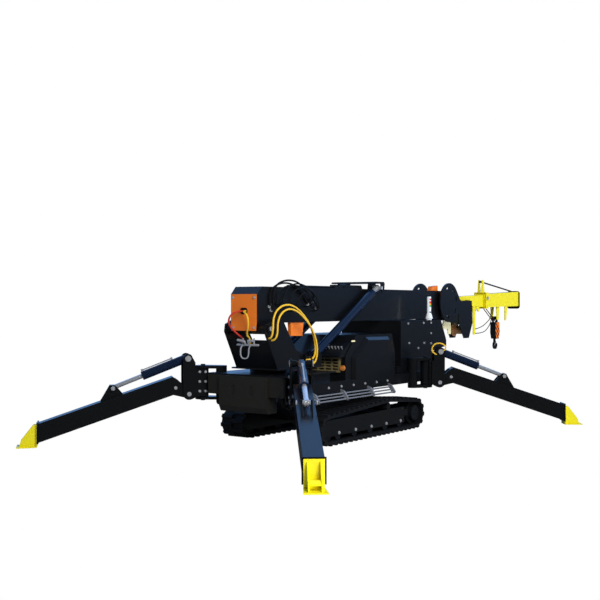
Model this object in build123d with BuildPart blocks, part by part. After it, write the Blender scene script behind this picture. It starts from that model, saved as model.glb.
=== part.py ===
"""Spider crane on rubber tracks: turret and telescopic boom, hydraulic jib with winch,
four swinging outriggers. Millimetres. X runs from the turret end to the jib, Y to the left,
Z up from the floor. The origin is on the floor, at the middle of the overall length."""
import os
from math import atan2, cos, degrees, hypot, pi, radians, sin

from build123d import *

os.makedirs("parts", exist_ok=True)

# General clearances
SEAT = 0.3            # gap between pieces of two bodies that carry each other
PIN_FIT = 0.05        # radial clearance of a pin in its bore
SWING_GAP = 6.0       # free gap beside a piece that swings

# Tracks, measured from the middle of the tracks
TRACK_OUTER_HALF = 693.0
SHOE_WIDTH = 313.0
BAND_THICKNESS = 28.0
LUG_HEIGHT = 22.0
LUG_RELIEF = 0.6      # second half's lugs end this far short, so a loop rests on four corners
LUG_COUNT = 48
IDLER_X = -935.0
IDLER_BAND_R = 148.0
SPROCKET_X = 925.0
SPROCKET_BAND_R = 163.0
CARRIER_X = 300.0
CARRIER_BAND_R = 80.0
CARRIER_TOP = 397.0
ROLLER_COUNT = 5
ROLLER_FIRST_X = -727.0
ROLLER_PITCH = 324.5
ROLLER_R = 58.0

# Track frames and the centre frame between them
FRAME_OUTER_Y = 668.0
FRAME_INNER_Y = 400.0
FRAME_PLATE = 16.0
FRAME_FRONT_X = -1030.0
FRAME_REAR_X = 660.0
FRAME_LOW_Z = 96.0
FRAME_TOP_Z = 286.0
FRAME_BEAM_TOP = 250.0
DRIVE_PLATE_X = 985.0
CENTRE_FRAME_HALF_X = 560.0
CENTRE_FRAME_HALF_Y = 300.0
CENTRE_FRAME_LOW = 230.0
CROSS_BEAM_X = 430.0
CROSS_BEAM_WIDTH = 130.0

# Chassis and its deck
CHASSIS_HALF_Y = 500.0
CHASSIS_LOW = 530.0
DECK_TOP = 652.0
DECK_PLATE = 12.0
SIDE_BEAM_WIDTH = 60.0
CHASSIS_REAR_X = -1240.0
CHASSIS_FRONT_X = 1960.0
PEDESTAL_TOP = 768.0
PEDESTAL_FRONT_X = -540.0
PEDESTAL_HALF_Y = 420.0
TOP_PLATE = 16.0

# Box at the turret end
BOX_FACE_X = -1521.0
BOX_BACK_X = -1240.0
BOX_HALF_Y = 502.0
BOX_LOW = 544.0
BOX_PANEL_HALF_Y = 322.0
BOX_PANEL_LOW = 370.0
BOX_PANEL_PROUD = 30.0
BOX_PANEL_DEPTH = 150.0
GRIP_LENGTH = 110.0
GRIP_WIDTH = 46.0
GRIP_SPACING = 250.0
GRIP_DEPTH = 9.0

# Slewing ring and turret
SLEW_X = -950.0
SLEW_RING_R = 300.0
SLEW_RING_BORE_R = 215.0
TURRET_BASE_LOW = 810.0
TURRET_BASE_THICKNESS = 16.0
TURRET_REAR_X = -1345.0
TURRET_FRONT_X = -530.0
TURRET_PLATE_Y = 262.0
TURRET_PLATE = 22.0
TURRET_HALF_Y = 320.0
TURRET_REAR_TOP_Z = 1130.0
CLAMP_X = -1470.0
CLAMP_TOP = 1090.0

# Main boom
BOOM_PIVOT_X = -1440.0
BOOM_PIVOT_Z = 1248.0
BOOM_PIN_R = 30.0
BOOM_REAR_X = -1518.0
BOOM_FRONT_X = 2440.0
BOOM_HALF_Y = 181.0
BOOM_LOW = 1307.0
BOOM_TOP = 1692.0
BOOM_WALL = 8.0
BOOM_REAR_CHAMFER_X = 75.0
BOOM_REAR_CHAMFER_Z = 80.0
REAR_PLATE = 8.0
REAR_PLATE_LOW = 1228.0
REAR_HOLE_Z = 1434.0
SECTION_GAP = 10.0
SECTION_WALL = 7.0
SECTION_SHOE = 60.0
MID_REAR_X = -1425.0
MID_COLLAR = 35.0
INNER_REAR_X = -1360.0

# Twin lift cylinders beside the boom
LIFT_Y = 250.0
LIFT_LOW_X = -620.0
LIFT_LOW_Z = 930.0
LIFT_TOP_X = 700.0
LIFT_TOP_Z = 1705.0
LIFT_BARREL_R = 50.0
LIFT_ROD_R = 30.0
LIFT_PIN_R = 22.0
LIFT_EYE_R = 46.0
LIFT_ROD_SHOWN = 110.0

# Boom head, jib, its cylinder and winch
HEAD_PLATE_Y = 215.0
HEAD_PLATE = 22.0
HEAD_DISC_X = 2660.0
HEAD_DISC_Z = 1530.0
HEAD_DISC_R = 272.0
HEAD_SLOT_R = 205.0
HEAD_SLOT_TURNS = (75, 125, 165, 215, 285)
JIB_PIVOT_X = 2920.0
JIB_PIVOT_Z = 1500.0
JIB_PIVOT_BOSS_R = 95.0
JIB_PIN_R = 28.0
JIB_WALL = 6.0
JIB_TIP_X = 5360.0
JIB_END_PLATE = 14.0
JIB_LUG_X = 2790.0
JIB_LUG_Z = 1305.0
JIB_EYE_X = 3900.0
JIB_EYE_Z = 1430.0
JIB_BARREL_R = 38.0
JIB_BARREL_LENGTH = 640.0
JIB_ROD_R = 20.0
JIB_CYL_PIN_R = 16.0
HOOK_X = 4650.0
HOOK_PIN_Z = 1290.0
HOOK_PIN_R = 15.0
WINCH_X = 3420.0
WINCH_Z = 1130.0
WINCH_DRUM_R = 62.0

# Outriggers, in the upright plane of each leg: u from the swing axis, z from the floor
SWING_HUB_R = 85.0
ARM_ROOT_R = 60.0
LUG_PLATE = 32.0
UPPER_LUG_LOW = 803.0
LOWER_LUG_LOW = 465.0
CHEEK = 16.0
LEG_PIN_U = 166.0
LEG_PIN_Z = 530.0
CYL_PIN_U = 178.0
CYL_PIN_Z = 915.0
EYE_PIN_U = 976.0
EYE_PIN_Z = 607.0
LEG_KNEE_U = 337.0
LEG_KNEE_Z = 620.0
LEG_END_Z = 152.0
LEG_HEIGHT = 190.0
LEG_WIDTH = 180.0
LEG_WALL = 8.0
OUT_PIN_R = 25.0
CYL_BARREL_R = 48.0
CYL_ROD_R = 25.0
CYL_BARREL_LENGTH = 519.0
CYL_EYE_R = 40.0
FOOT_OVERHANG = 225.0
FOOT_PLATE = 14.0
FLANGE = 16.0
FLANGE_PROUD = 12.0
RIB_V = 48.0
RIB = 14.0

# Roots of the fixed arms: in from the box's side, and out from the side beam
BASE_ROOT_X = -1330.0
BASE_ROOT_IN = 22.0
HEAD_ROOT_X = 1144.0
HEAD_ROOT_OUT = 6.0

# name, swing axis X, swing axis Y, direction of the leg in degrees, reach to the leg's end
OUTRIGGERS = [
    ("base_left", -1426.0, 665.0, 140.0, 1742.0),
    ("base_right", -1426.0, -665.0, -140.0, 1880.0),
    ("head_right", 1327.0, -586.0, -53.0, 1725.0),
    ("head_left", 1327.0, 586.0, 53.0, 1725.0),
]

# Tower that carries the boom at rest
TOWER_HALF_Y = 440.0
TOWER_TOP = 1300.0
TOWER_WALL = 6.0
STACK_X = 1770.0
STACK_Y = -395.0
STACK_TOP = 1600.0

# Engine hood, side covers, grille and controls
HOOD_HALF_Y = 460.0
HOOD_TOP = 1150.0
HOOD_FRONT_X = -290.0
HOOD_REAR_X = 800.0
HOOD_WALL = 5.0
COVER_THICKNESS = 40.0
LEVER_COUNT = 6
LEVER_FIRST_Y = -420.0
LEVER_PITCH = 44.0
LEVER_LENGTH = 38.0
GRILLE_Y0 = -395.0
GRILLE_Y1 = 15.0
GRILLE_Z0 = 735.0
GRILLE_Z1 = 905.0

# The part's origin: middle of the length from the longest foot to the jib's end
longest = OUTRIGGERS[1]
foot_half = LEG_WIDTH / 2 + 12.0
foot_tip_x = (longest[1] + (longest[4] + FOOT_OVERHANG) * cos(radians(longest[3]))
              - foot_half * abs(sin(radians(longest[3]))))
TRACK_X = -(foot_tip_x + JIB_TIP_X + JIB_END_PLATE) / 2

# Working planes through the middle of the tracks: side view, plan and cross section
SIDE = Plane(origin=(TRACK_X, 0, 0), x_dir=(1, 0, 0), z_dir=(0, -1, 0))
PLAN = Plane(origin=(TRACK_X, 0, 0), x_dir=(1, 0, 0), z_dir=(0, 0, 1))
SECTION = Plane(origin=(TRACK_X, 0, 0), x_dir=(0, 1, 0), z_dir=(1, 0, 0))


def side(y):
    """Side-view plane at the height y across the machine; it extrudes towards +Y."""
    return Plane(origin=(TRACK_X, y, 0), x_dir=(-1, 0, 0), z_dir=(0, 1, 0))


def save(part, name):
    part.label = name
    export_step(part, f"parts/{name}.step")


def mirror_x(points):
    """Side-view points for a plane whose x axis runs backwards."""
    return [(-x, z) for x, z in points]


def disc(x, z, radius):
    """A circle in the side plane."""
    with Locations((-x, z)):
        Circle(radius)


# Track loops
def belt_tangent(first, second):
    """Points where the outer tangent leaves one circle and meets the next, going round
    the belt with its inside on the left."""
    (x1, z1, r1), (x2, z2, r2) = first, second
    distance = hypot(x2 - x1, z2 - z1)
    heading = atan2(z2 - z1, x2 - x1)
    lean = atan2(r1 - r2, (distance ** 2 - (r1 - r2) ** 2) ** 0.5)
    normal = heading - pi / 2 + lean
    return ((x1 + r1 * cos(normal), z1 + r1 * sin(normal)),
            (x2 + r2 * cos(normal), z2 + r2 * sin(normal)), normal)


def belt_circles(offset):
    """Wheel circles of the loop, grown by an offset from the band's outer face."""
    return [
        (IDLER_X, LUG_HEIGHT + IDLER_BAND_R, IDLER_BAND_R + offset),
        (SPROCKET_X, LUG_HEIGHT + SPROCKET_BAND_R, SPROCKET_BAND_R + offset),
        (CARRIER_X, CARRIER_TOP - CARRIER_BAND_R, CARRIER_BAND_R + offset),
    ]


def belt_spans():
    """Straight runs and wraps of the band's outer face, as (length, place) functions."""
    circles = belt_circles(0.0)
    runs = [belt_tangent(circles[i], circles[(i + 1) % 3]) for i in range(3)]
    spans = []
    for i in range(3):
        start, end, normal = runs[i]
        length = hypot(end[0] - start[0], end[1] - start[1])
        spans.append(("run", length, start, end, normal))
        centre = circles[(i + 1) % 3]
        turn = (runs[(i + 1) % 3][2] - normal) % (2 * pi)
        spans.append(("wrap", centre[2] * turn, centre, normal, turn))
    return spans


def belt_point(spans, distance, height):
    """The point at a distance along the band, raised off its outer face."""
    distance %= sum(span[1] for span in spans)
    for span in spans:
        if distance <= span[1]:
            break
        distance -= span[1]
    share = distance / span[1]
    if span[0] == "run":
        start, end, normal = span[2], span[3], span[4]
        x = start[0] + (end[0] - start[0]) * share
        z = start[1] + (end[1] - start[1]) * share
    else:
        centre, normal = span[2], span[3] + span[4] * share
        x = centre[0] + centre[2] * cos(normal)
        z = centre[1] + centre[2] * sin(normal)
    return x + height * cos(normal), z + height * sin(normal)


def lug_outline(phase, crown):
    """Outline of the loop with lugs as high as crown, shifted by a share of the pitch."""
    spans = belt_spans()
    pitch = sum(span[1] for span in spans) / LUG_COUNT
    # share of the pitch, height: foot, crown, crown, foot of a lug
    lug = [(0.06, 0.0), (0.18, crown), (0.52, crown), (0.64, 0.0)]
    return [belt_point(spans, (i + phase + share) * pitch, height)
            for i in range(LUG_COUNT) for share, height in lug]


def belt_inside(circles):
    """Closed line of the loop's inner face, in side-view coordinates."""
    runs = [belt_tangent(circles[i], circles[(i + 1) % 3]) for i in range(3)]
    for i in range(3):
        start, end, normal = runs[i]
        Line((-start[0], start[1]), (-end[0], end[1]))
        next_start, _, next_normal = runs[(i + 1) % 3]
        x, z, r = circles[(i + 1) % 3]
        middle = normal + ((next_normal - normal) % (2 * pi)) / 2
        ThreePointArc((-end[0], end[1]), (-x - r * cos(middle), z + r * sin(middle)),
                      (-next_start[0], next_start[1]))


def make_track(name, low_y):
    """A rubber loop in two half widths, with their lugs staggered."""
    half = SHOE_WIDTH / 2
    with BuildPart() as track:
        for i, (phase, crown) in enumerate(((0.0, LUG_HEIGHT), (0.5, LUG_HEIGHT - LUG_RELIEF))):
            with BuildSketch(side(low_y + i * half)):
                with BuildLine():
                    Polyline(*mirror_x(lug_outline(phase, crown)), close=True)
                make_face()
                with BuildSketch(mode=Mode.PRIVATE) as inside:
                    with BuildLine():
                        belt_inside(belt_circles(-BAND_THICKNESS))
                    make_face()
                add(inside.sketch, mode=Mode.SUBTRACT)
            extrude(amount=half)
    save(track.part, name)


make_track("track_left", TRACK_OUTER_HALF - SHOE_WIDTH)
make_track("track_right", -TRACK_OUTER_HALF)

# Rollers, idlers, sprockets and carriers inside each loop
floor_inside = LUG_HEIGHT + BAND_THICKNESS
with BuildPart() as wheels:
    for hand in (-1, 1):
        low = FRAME_INNER_Y + FRAME_PLATE + SEAT
        high = FRAME_OUTER_Y - FRAME_PLATE - SEAT
        width = high - low
        low_y = low if hand > 0 else -high
        for i in range(ROLLER_COUNT):
            with BuildSketch(side(low_y)):
                disc(ROLLER_FIRST_X + i * ROLLER_PITCH, floor_inside + ROLLER_R + SEAT, ROLLER_R)
            extrude(amount=width)
        with BuildSketch(side(low_y)):
            disc(CARRIER_X, CARRIER_TOP - CARRIER_BAND_R,
                 CARRIER_BAND_R - BAND_THICKNESS - SEAT)
        extrude(amount=width)
        with BuildSketch(side(low_y)):
            disc(IDLER_X, LUG_HEIGHT + IDLER_BAND_R, IDLER_BAND_R - BAND_THICKNESS - SEAT)
        extrude(amount=width)
        # sprocket with its final drive, bolted to the inner frame plate
        drive_low = low if hand > 0 else -high - 14
        with BuildSketch(side(low_y + 40)):
            disc(SPROCKET_X, LUG_HEIGHT + SPROCKET_BAND_R,
                 SPROCKET_BAND_R - BAND_THICKNESS - SEAT)
        extrude(amount=width - 80)
        with BuildSketch(side(drive_low)):
            disc(SPROCKET_X, LUG_HEIGHT + SPROCKET_BAND_R, 92)
        extrude(amount=width + 14)
save(wheels.part, "track_wheels")

# Track frames: a beam between two plates, the outer one covering the idler
with BuildPart() as track_frames:
    for hand in (-1, 1):
        outer_low = FRAME_OUTER_Y - FRAME_PLATE if hand > 0 else -FRAME_OUTER_Y
        inner_low = FRAME_INNER_Y if hand > 0 else -FRAME_INNER_Y - FRAME_PLATE
        beam_low = FRAME_INNER_Y if hand > 0 else -FRAME_OUTER_Y
        with BuildSketch(side(outer_low)):
            Polygon(*mirror_x([(FRAME_FRONT_X, FRAME_LOW_Z + 40), (FRAME_FRONT_X + 40, FRAME_LOW_Z),
                               (FRAME_REAR_X, FRAME_LOW_Z), (FRAME_REAR_X, FRAME_TOP_Z),
                               (FRAME_FRONT_X + 90, FRAME_TOP_Z - 14),
                               (FRAME_FRONT_X, FRAME_TOP_Z - 70)]), align=None)
            disc(CARRIER_X, CARRIER_TOP - CARRIER_BAND_R, 45)
        extrude(amount=FRAME_PLATE)
        with BuildSketch(side(inner_low)):
            Polygon(*mirror_x([(FRAME_FRONT_X, FRAME_LOW_Z + 40), (FRAME_FRONT_X + 40, FRAME_LOW_Z),
                               (DRIVE_PLATE_X, FRAME_LOW_Z), (DRIVE_PLATE_X, FRAME_TOP_Z),
                               (FRAME_FRONT_X + 90, FRAME_TOP_Z - 14),
                               (FRAME_FRONT_X, FRAME_TOP_Z - 70)]), align=None)
            disc(CARRIER_X, CARRIER_TOP - CARRIER_BAND_R, 45)
        extrude(amount=FRAME_PLATE)
        beam_floor = floor_inside + 2 * ROLLER_R + SEAT + 8
        with BuildSketch(side(beam_low)):
            Polygon(*mirror_x([(-780, beam_floor), (740, beam_floor),
                               (740, FRAME_BEAM_TOP), (-780, FRAME_BEAM_TOP)]), align=None)
        extrude(amount=FRAME_OUTER_Y - FRAME_INNER_Y)
save(track_frames.part, "track_frames")

# Centre frame between the track frames, under the chassis
with BuildPart() as centre_frame:
    with BuildSketch(PLAN.offset(CENTRE_FRAME_LOW)):
        Rectangle(2 * CENTRE_FRAME_HALF_X, 2 * CENTRE_FRAME_HALF_Y)
    extrude(amount=CHASSIS_LOW - CENTRE_FRAME_LOW)
    with BuildSketch(PLAN.offset(CENTRE_FRAME_LOW + 40)):
        Rectangle(2 * CENTRE_FRAME_HALF_X - 80, 2 * CENTRE_FRAME_HALF_Y - 60)
    extrude(amount=CHASSIS_LOW - CENTRE_FRAME_LOW - 80, mode=Mode.SUBTRACT)
    with BuildSketch(PLAN.offset(170)):
        with Locations((-CROSS_BEAM_X, 0), (CROSS_BEAM_X, 0)):
            Rectangle(CROSS_BEAM_WIDTH, 2 * FRAME_INNER_Y)
    extrude(amount=120)
save(centre_frame.part, "centre_frame")


# Chassis: side beams, deck, pedestal for the slewing ring and the outrigger arms
def arm_points(axis_x, axis_y):
    """Root of the fixed arm of an outrigger, on the chassis side beam."""
    hand = 1 if axis_y > 0 else -1
    if axis_x < 0:
        return BASE_ROOT_X, hand * (BOX_HALF_Y - BASE_ROOT_IN)
    return HEAD_ROOT_X, hand * (CHASSIS_HALF_Y + HEAD_ROOT_OUT)


with BuildPart() as chassis:
    with BuildSketch(PLAN.offset(DECK_TOP - DECK_PLATE)):
        Polygon((CHASSIS_REAR_X, -CHASSIS_HALF_Y), (CHASSIS_FRONT_X, -CHASSIS_HALF_Y),
                (CHASSIS_FRONT_X, CHASSIS_HALF_Y), (CHASSIS_REAR_X, CHASSIS_HALF_Y), align=None)
    extrude(amount=DECK_PLATE)
    with BuildSketch(PLAN.offset(CHASSIS_LOW)):
        for hand in (-1, 1):
            inner = hand * (CHASSIS_HALF_Y - SIDE_BEAM_WIDTH)
            outer = hand * CHASSIS_HALF_Y
            Polygon((CHASSIS_REAR_X, inner), (CHASSIS_FRONT_X, inner),
                    (CHASSIS_FRONT_X, outer), (CHASSIS_REAR_X, outer), align=None)
        for x in (CHASSIS_REAR_X + 40, -CENTRE_FRAME_HALF_X, 0, CENTRE_FRAME_HALF_X,
                  CHASSIS_FRONT_X - 40):
            with Locations((x, 0)):
                Rectangle(80, 2 * CHASSIS_HALF_Y - SIDE_BEAM_WIDTH)
    extrude(amount=DECK_TOP - CHASSIS_LOW - DECK_PLATE)
    with BuildSketch(PLAN.offset(DECK_TOP)):
        Polygon((CHASSIS_REAR_X, -PEDESTAL_HALF_Y), (PEDESTAL_FRONT_X, -PEDESTAL_HALF_Y),
                (PEDESTAL_FRONT_X, PEDESTAL_HALF_Y), (CHASSIS_REAR_X, PEDESTAL_HALF_Y), align=None)
        with Locations((SLEW_X, 0)):
            Circle(SLEW_RING_BORE_R, mode=Mode.SUBTRACT)
    extrude(amount=PEDESTAL_TOP - DECK_TOP)
    with BuildSketch(PLAN.offset(PEDESTAL_TOP - TOP_PLATE)):
        Polygon((BOX_FACE_X, -BOX_HALF_Y), (PEDESTAL_FRONT_X, -BOX_HALF_Y),
                (PEDESTAL_FRONT_X, BOX_HALF_Y), (BOX_FACE_X, BOX_HALF_Y), align=None)
        with Locations((SLEW_X, 0)):
            Circle(SLEW_RING_BORE_R, mode=Mode.SUBTRACT)
    extrude(amount=TOP_PLATE)
    for name, axis_x, axis_y, heading, reach in OUTRIGGERS:
        root_x, root_y = arm_points(axis_x, axis_y)
        for low in (LOWER_LUG_LOW, UPPER_LUG_LOW):
            with BuildSketch(PLAN.offset(low)):
                with Locations((axis_x, axis_y)):
                    Circle(SWING_HUB_R)
                with Locations((root_x, root_y)):
                    Circle(ARM_ROOT_R)
                make_hull()
                with Locations((axis_x, axis_y)):
                    Circle(OUT_PIN_R + PIN_FIT, mode=Mode.SUBTRACT)
            extrude(amount=LUG_PLATE)
        with BuildSketch(PLAN.offset(LOWER_LUG_LOW)):
            with Locations((root_x, root_y)):
                Circle(ARM_ROOT_R)
        extrude(amount=UPPER_LUG_LOW + LUG_PLATE - LOWER_LUG_LOW)
save(chassis.part, "chassis_frame")

# Box at the turret end, with a deep centre panel that carries two plain grips
with BuildPart() as front_box:
    with BuildSketch(PLAN.offset(BOX_LOW)):
        Polygon((BOX_FACE_X, -BOX_HALF_Y), (BOX_BACK_X, -BOX_HALF_Y + 70),
                (BOX_BACK_X, BOX_HALF_Y - 70), (BOX_FACE_X, BOX_HALF_Y), align=None)
    extrude(amount=PEDESTAL_TOP - TOP_PLATE - BOX_LOW)
    with BuildSketch(side(-BOX_PANEL_HALF_Y)):
        Polygon(*mirror_x([(BOX_FACE_X - BOX_PANEL_PROUD, BOX_PANEL_LOW + 60),
                           (BOX_FACE_X - BOX_PANEL_PROUD + 30, BOX_PANEL_LOW),
                           (BOX_FACE_X + BOX_PANEL_DEPTH, BOX_PANEL_LOW),
                           (BOX_FACE_X + BOX_PANEL_DEPTH, PEDESTAL_TOP - TOP_PLATE),
                           (BOX_FACE_X - BOX_PANEL_PROUD, PEDESTAL_TOP - TOP_PLATE)]), align=None)
    extrude(amount=2 * BOX_PANEL_HALF_Y)
    with BuildSketch(SECTION.offset(BOX_FACE_X - BOX_PANEL_PROUD)):
        with Locations((-GRIP_SPACING / 2, 600), (GRIP_SPACING / 2, 600)):
            SlotOverall(GRIP_LENGTH, GRIP_WIDTH, rotation=90)
    extrude(amount=GRIP_DEPTH, mode=Mode.SUBTRACT)
    for name, axis_x, axis_y, heading, reach in OUTRIGGERS[:2]:
        with BuildSketch(PLAN.offset(BOX_LOW - 1)):
            with Locations(arm_points(axis_x, axis_y)):
                Circle(ARM_ROOT_R + SEAT)
        extrude(amount=PEDESTAL_TOP - BOX_LOW, mode=Mode.SUBTRACT)
save(front_box.part, "front_box")

# Slewing ring between the pedestal and the turret
with BuildPart() as slew_ring:
    with BuildSketch(PLAN.offset(PEDESTAL_TOP)):
        with Locations((SLEW_X, 0)):
            Circle(SLEW_RING_R)
            Circle(SLEW_RING_BORE_R, mode=Mode.SUBTRACT)
    extrude(amount=TURRET_BASE_LOW - PEDESTAL_TOP - SEAT)
save(slew_ring.part, "slew_ring")

# Turret: base plate, two tall side plates, sloping rear plate, lift cylinder lugs, boom pin
turret_floor = TURRET_BASE_LOW + TURRET_BASE_THICKNESS
turret_side = [(-1310, turret_floor - 2), (-845, turret_floor - 2), (-845, 962),
               (-985, 1012), (-1225, 1352), (-1360, 1352), (-1500, 1295), (-1512, 1215)]
with BuildPart() as turret:
    with BuildSketch(PLAN.offset(TURRET_BASE_LOW)):
        Polygon((TURRET_REAR_X, -TURRET_HALF_Y), (TURRET_FRONT_X, -TURRET_HALF_Y),
                (TURRET_FRONT_X, TURRET_HALF_Y), (TURRET_REAR_X, TURRET_HALF_Y), align=None)
        with Locations((SLEW_X, 0)):
            Circle(120, mode=Mode.SUBTRACT)
    extrude(amount=TURRET_BASE_THICKNESS)
    for low_y in (TURRET_PLATE_Y, -TURRET_PLATE_Y - TURRET_PLATE):
        with BuildSketch(side(low_y)):
            Polygon(*mirror_x(turret_side), align=None)
        extrude(amount=TURRET_PLATE)
    # rear plate leaning back between the side plates
    with BuildSketch(side(-TURRET_PLATE_Y)):
        Polygon(*mirror_x([(-1310, turret_floor - 2), (-1294, turret_floor - 2),
                           (-1441, TURRET_REAR_TOP_Z), (-1457, TURRET_REAR_TOP_Z)]), align=None)
    extrude(amount=2 * TURRET_PLATE_Y)
    # clamp block for the rear hoses
    with BuildSketch(side(-80)):
        Polygon(*mirror_x([(CLAMP_X - 32, CLAMP_TOP - 30), (-1415, CLAMP_TOP - 30),
                           (-1425, CLAMP_TOP), (CLAMP_X - 32, CLAMP_TOP)]), align=None)
    extrude(amount=180)
    # cross web ahead of the boom pivot
    with BuildSketch(side(-TURRET_PLATE_Y)):
        Polygon(*mirror_x([(-1000, turret_floor - 2), (-984, turret_floor - 2), (-984, 1000),
                           (-1000, 1000)]), align=None)
    extrude(amount=2 * TURRET_PLATE_Y)
    # cross block that ties the side plates to the paired lugs of each lift cylinder
    with BuildSketch(side(-TURRET_HALF_Y)):
        Polygon(*mirror_x([(-860, turret_floor - 2), (-835, turret_floor - 2), (-835, 950),
                           (-860, 960)]), align=None)
    extrude(amount=2 * TURRET_HALF_Y)
    lug_gap = LIFT_BARREL_R + 4
    for hand in (-1, 1):
        for low_y in (hand * LIFT_Y - lug_gap - 16, hand * LIFT_Y + lug_gap):
            with BuildSketch(side(low_y)):
                Polygon(*mirror_x([(-845, turret_floor - 4), (LIFT_LOW_X + 60, turret_floor - 4),
                                   (LIFT_LOW_X + 60, LIFT_LOW_Z), (LIFT_LOW_X - 60, LIFT_LOW_Z),
                                   (-845, 940)]), align=None)
                disc(LIFT_LOW_X, LIFT_LOW_Z, 60)
            extrude(amount=16)
        with BuildSketch(side(hand * LIFT_Y - lug_gap - 16)):
            disc(LIFT_LOW_X, LIFT_LOW_Z, LIFT_PIN_R)
        extrude(amount=2 * lug_gap + 32)
    with BuildSketch(side(-TURRET_PLATE_Y - TURRET_PLATE - 14)):
        disc(BOOM_PIVOT_X, BOOM_PIVOT_Z, BOOM_PIN_R)
    extrude(amount=2 * (TURRET_PLATE_Y + TURRET_PLATE + 14))
    for low_y in (TURRET_PLATE_Y + TURRET_PLATE, -TURRET_PLATE_Y - TURRET_PLATE - 12):
        with BuildSketch(side(low_y)):
            disc(BOOM_PIVOT_X, BOOM_PIVOT_Z, BOOM_PIN_R + 16)
        extrude(amount=12)
save(turret.part, "turret")


# Main boom: base section with a slanted rear, pivot lugs and saddles for the lift cylinders
def ring(half_y, low, high, wall):
    """Hollow rectangle in the cross-section plane."""
    with Locations((0, (low + high) / 2)):
        Rectangle(2 * half_y, high - low)
        Rectangle(2 * (half_y - wall), high - low - 2 * wall, mode=Mode.SUBTRACT)


def pads(half_y, low, high, height):
    """Four wear pads on the faces of a section, as tall as the height says."""
    middle = (low + high) / 2
    with Locations((0, low + height / 2), (0, high - height / 2)):
        Rectangle(1.4 * half_y, abs(height))
    with Locations((half_y - height / 2, middle), (-half_y + height / 2, middle)):
        Rectangle(abs(height), 0.7 * (high - low))


pad = SECTION_GAP - SEAT
inside_y = BOOM_HALF_Y - BOOM_WALL
inside_low = BOOM_LOW + BOOM_WALL
inside_top = BOOM_TOP - BOOM_WALL
with BuildPart() as boom_base:
    with BuildSketch(side(-BOOM_HALF_Y)):
        Polygon(*mirror_x([(BOOM_REAR_X, BOOM_LOW), (BOOM_FRONT_X, BOOM_LOW),
                           (BOOM_FRONT_X, BOOM_TOP), (BOOM_REAR_X + BOOM_REAR_CHAMFER_X, BOOM_TOP),
                           (BOOM_REAR_X, BOOM_TOP - BOOM_REAR_CHAMFER_Z)]), align=None)
    extrude(amount=2 * BOOM_HALF_Y)
    with BuildSketch(side(-inside_y)):
        Polygon(*mirror_x([(BOOM_REAR_X + 10, inside_low), (BOOM_FRONT_X, inside_low),
                           (BOOM_FRONT_X, inside_top),
                           (BOOM_REAR_X + BOOM_REAR_CHAMFER_X + 4, inside_top),
                           (BOOM_REAR_X + 10, BOOM_TOP - BOOM_REAR_CHAMFER_Z - 4)]), align=None)
    extrude(amount=2 * inside_y, mode=Mode.SUBTRACT)
    with BuildSketch(SECTION.offset(BOOM_FRONT_X - SECTION_SHOE)):
        pads(inside_y, inside_low, inside_top, pad)
    extrude(amount=SECTION_SHOE)
    for hand in (-1, 1):
        with BuildSketch(side(hand * 165 - 16)):
            Polygon(*mirror_x([(BOOM_REAR_X + 15, BOOM_LOW + 4), (BOOM_PIVOT_X - 50, BOOM_PIVOT_Z),
                               (BOOM_PIVOT_X + 50, BOOM_PIVOT_Z - 20), (-1090, BOOM_LOW + 4)]),
                    align=None)
        extrude(amount=32)
    with BuildSketch(side(-TURRET_PLATE_Y + SWING_GAP)):
        disc(BOOM_PIVOT_X, BOOM_PIVOT_Z, 57)
    extrude(amount=2 * (TURRET_PLATE_Y - SWING_GAP))
    with BuildSketch(side(-TURRET_PLATE_Y)):
        disc(BOOM_PIVOT_X, BOOM_PIVOT_Z, BOOM_PIN_R + PIN_FIT)
    extrude(amount=2 * TURRET_PLATE_Y, mode=Mode.SUBTRACT)
save(boom_base.part, "boom_base")

# Plate over the boom's rear, with an opening for the hoses
with BuildPart() as rear_plate:
    with BuildSketch(SECTION.offset(BOOM_REAR_X - REAR_PLATE)):
        Polygon((-165, REAR_PLATE_LOW), (165, REAR_PLATE_LOW),
                (172, REAR_PLATE_LOW + 90), (172, BOOM_TOP - BOOM_REAR_CHAMFER_Z),
                (-172, BOOM_TOP - BOOM_REAR_CHAMFER_Z), (-172, REAR_PLATE_LOW + 90), align=None)
        with Locations((0, REAR_HOLE_Z)):
            SlotOverall(110, 70, mode=Mode.SUBTRACT)
    extrude(amount=REAR_PLATE)
save(rear_plate.part, "boom_rear_plate")

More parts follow.
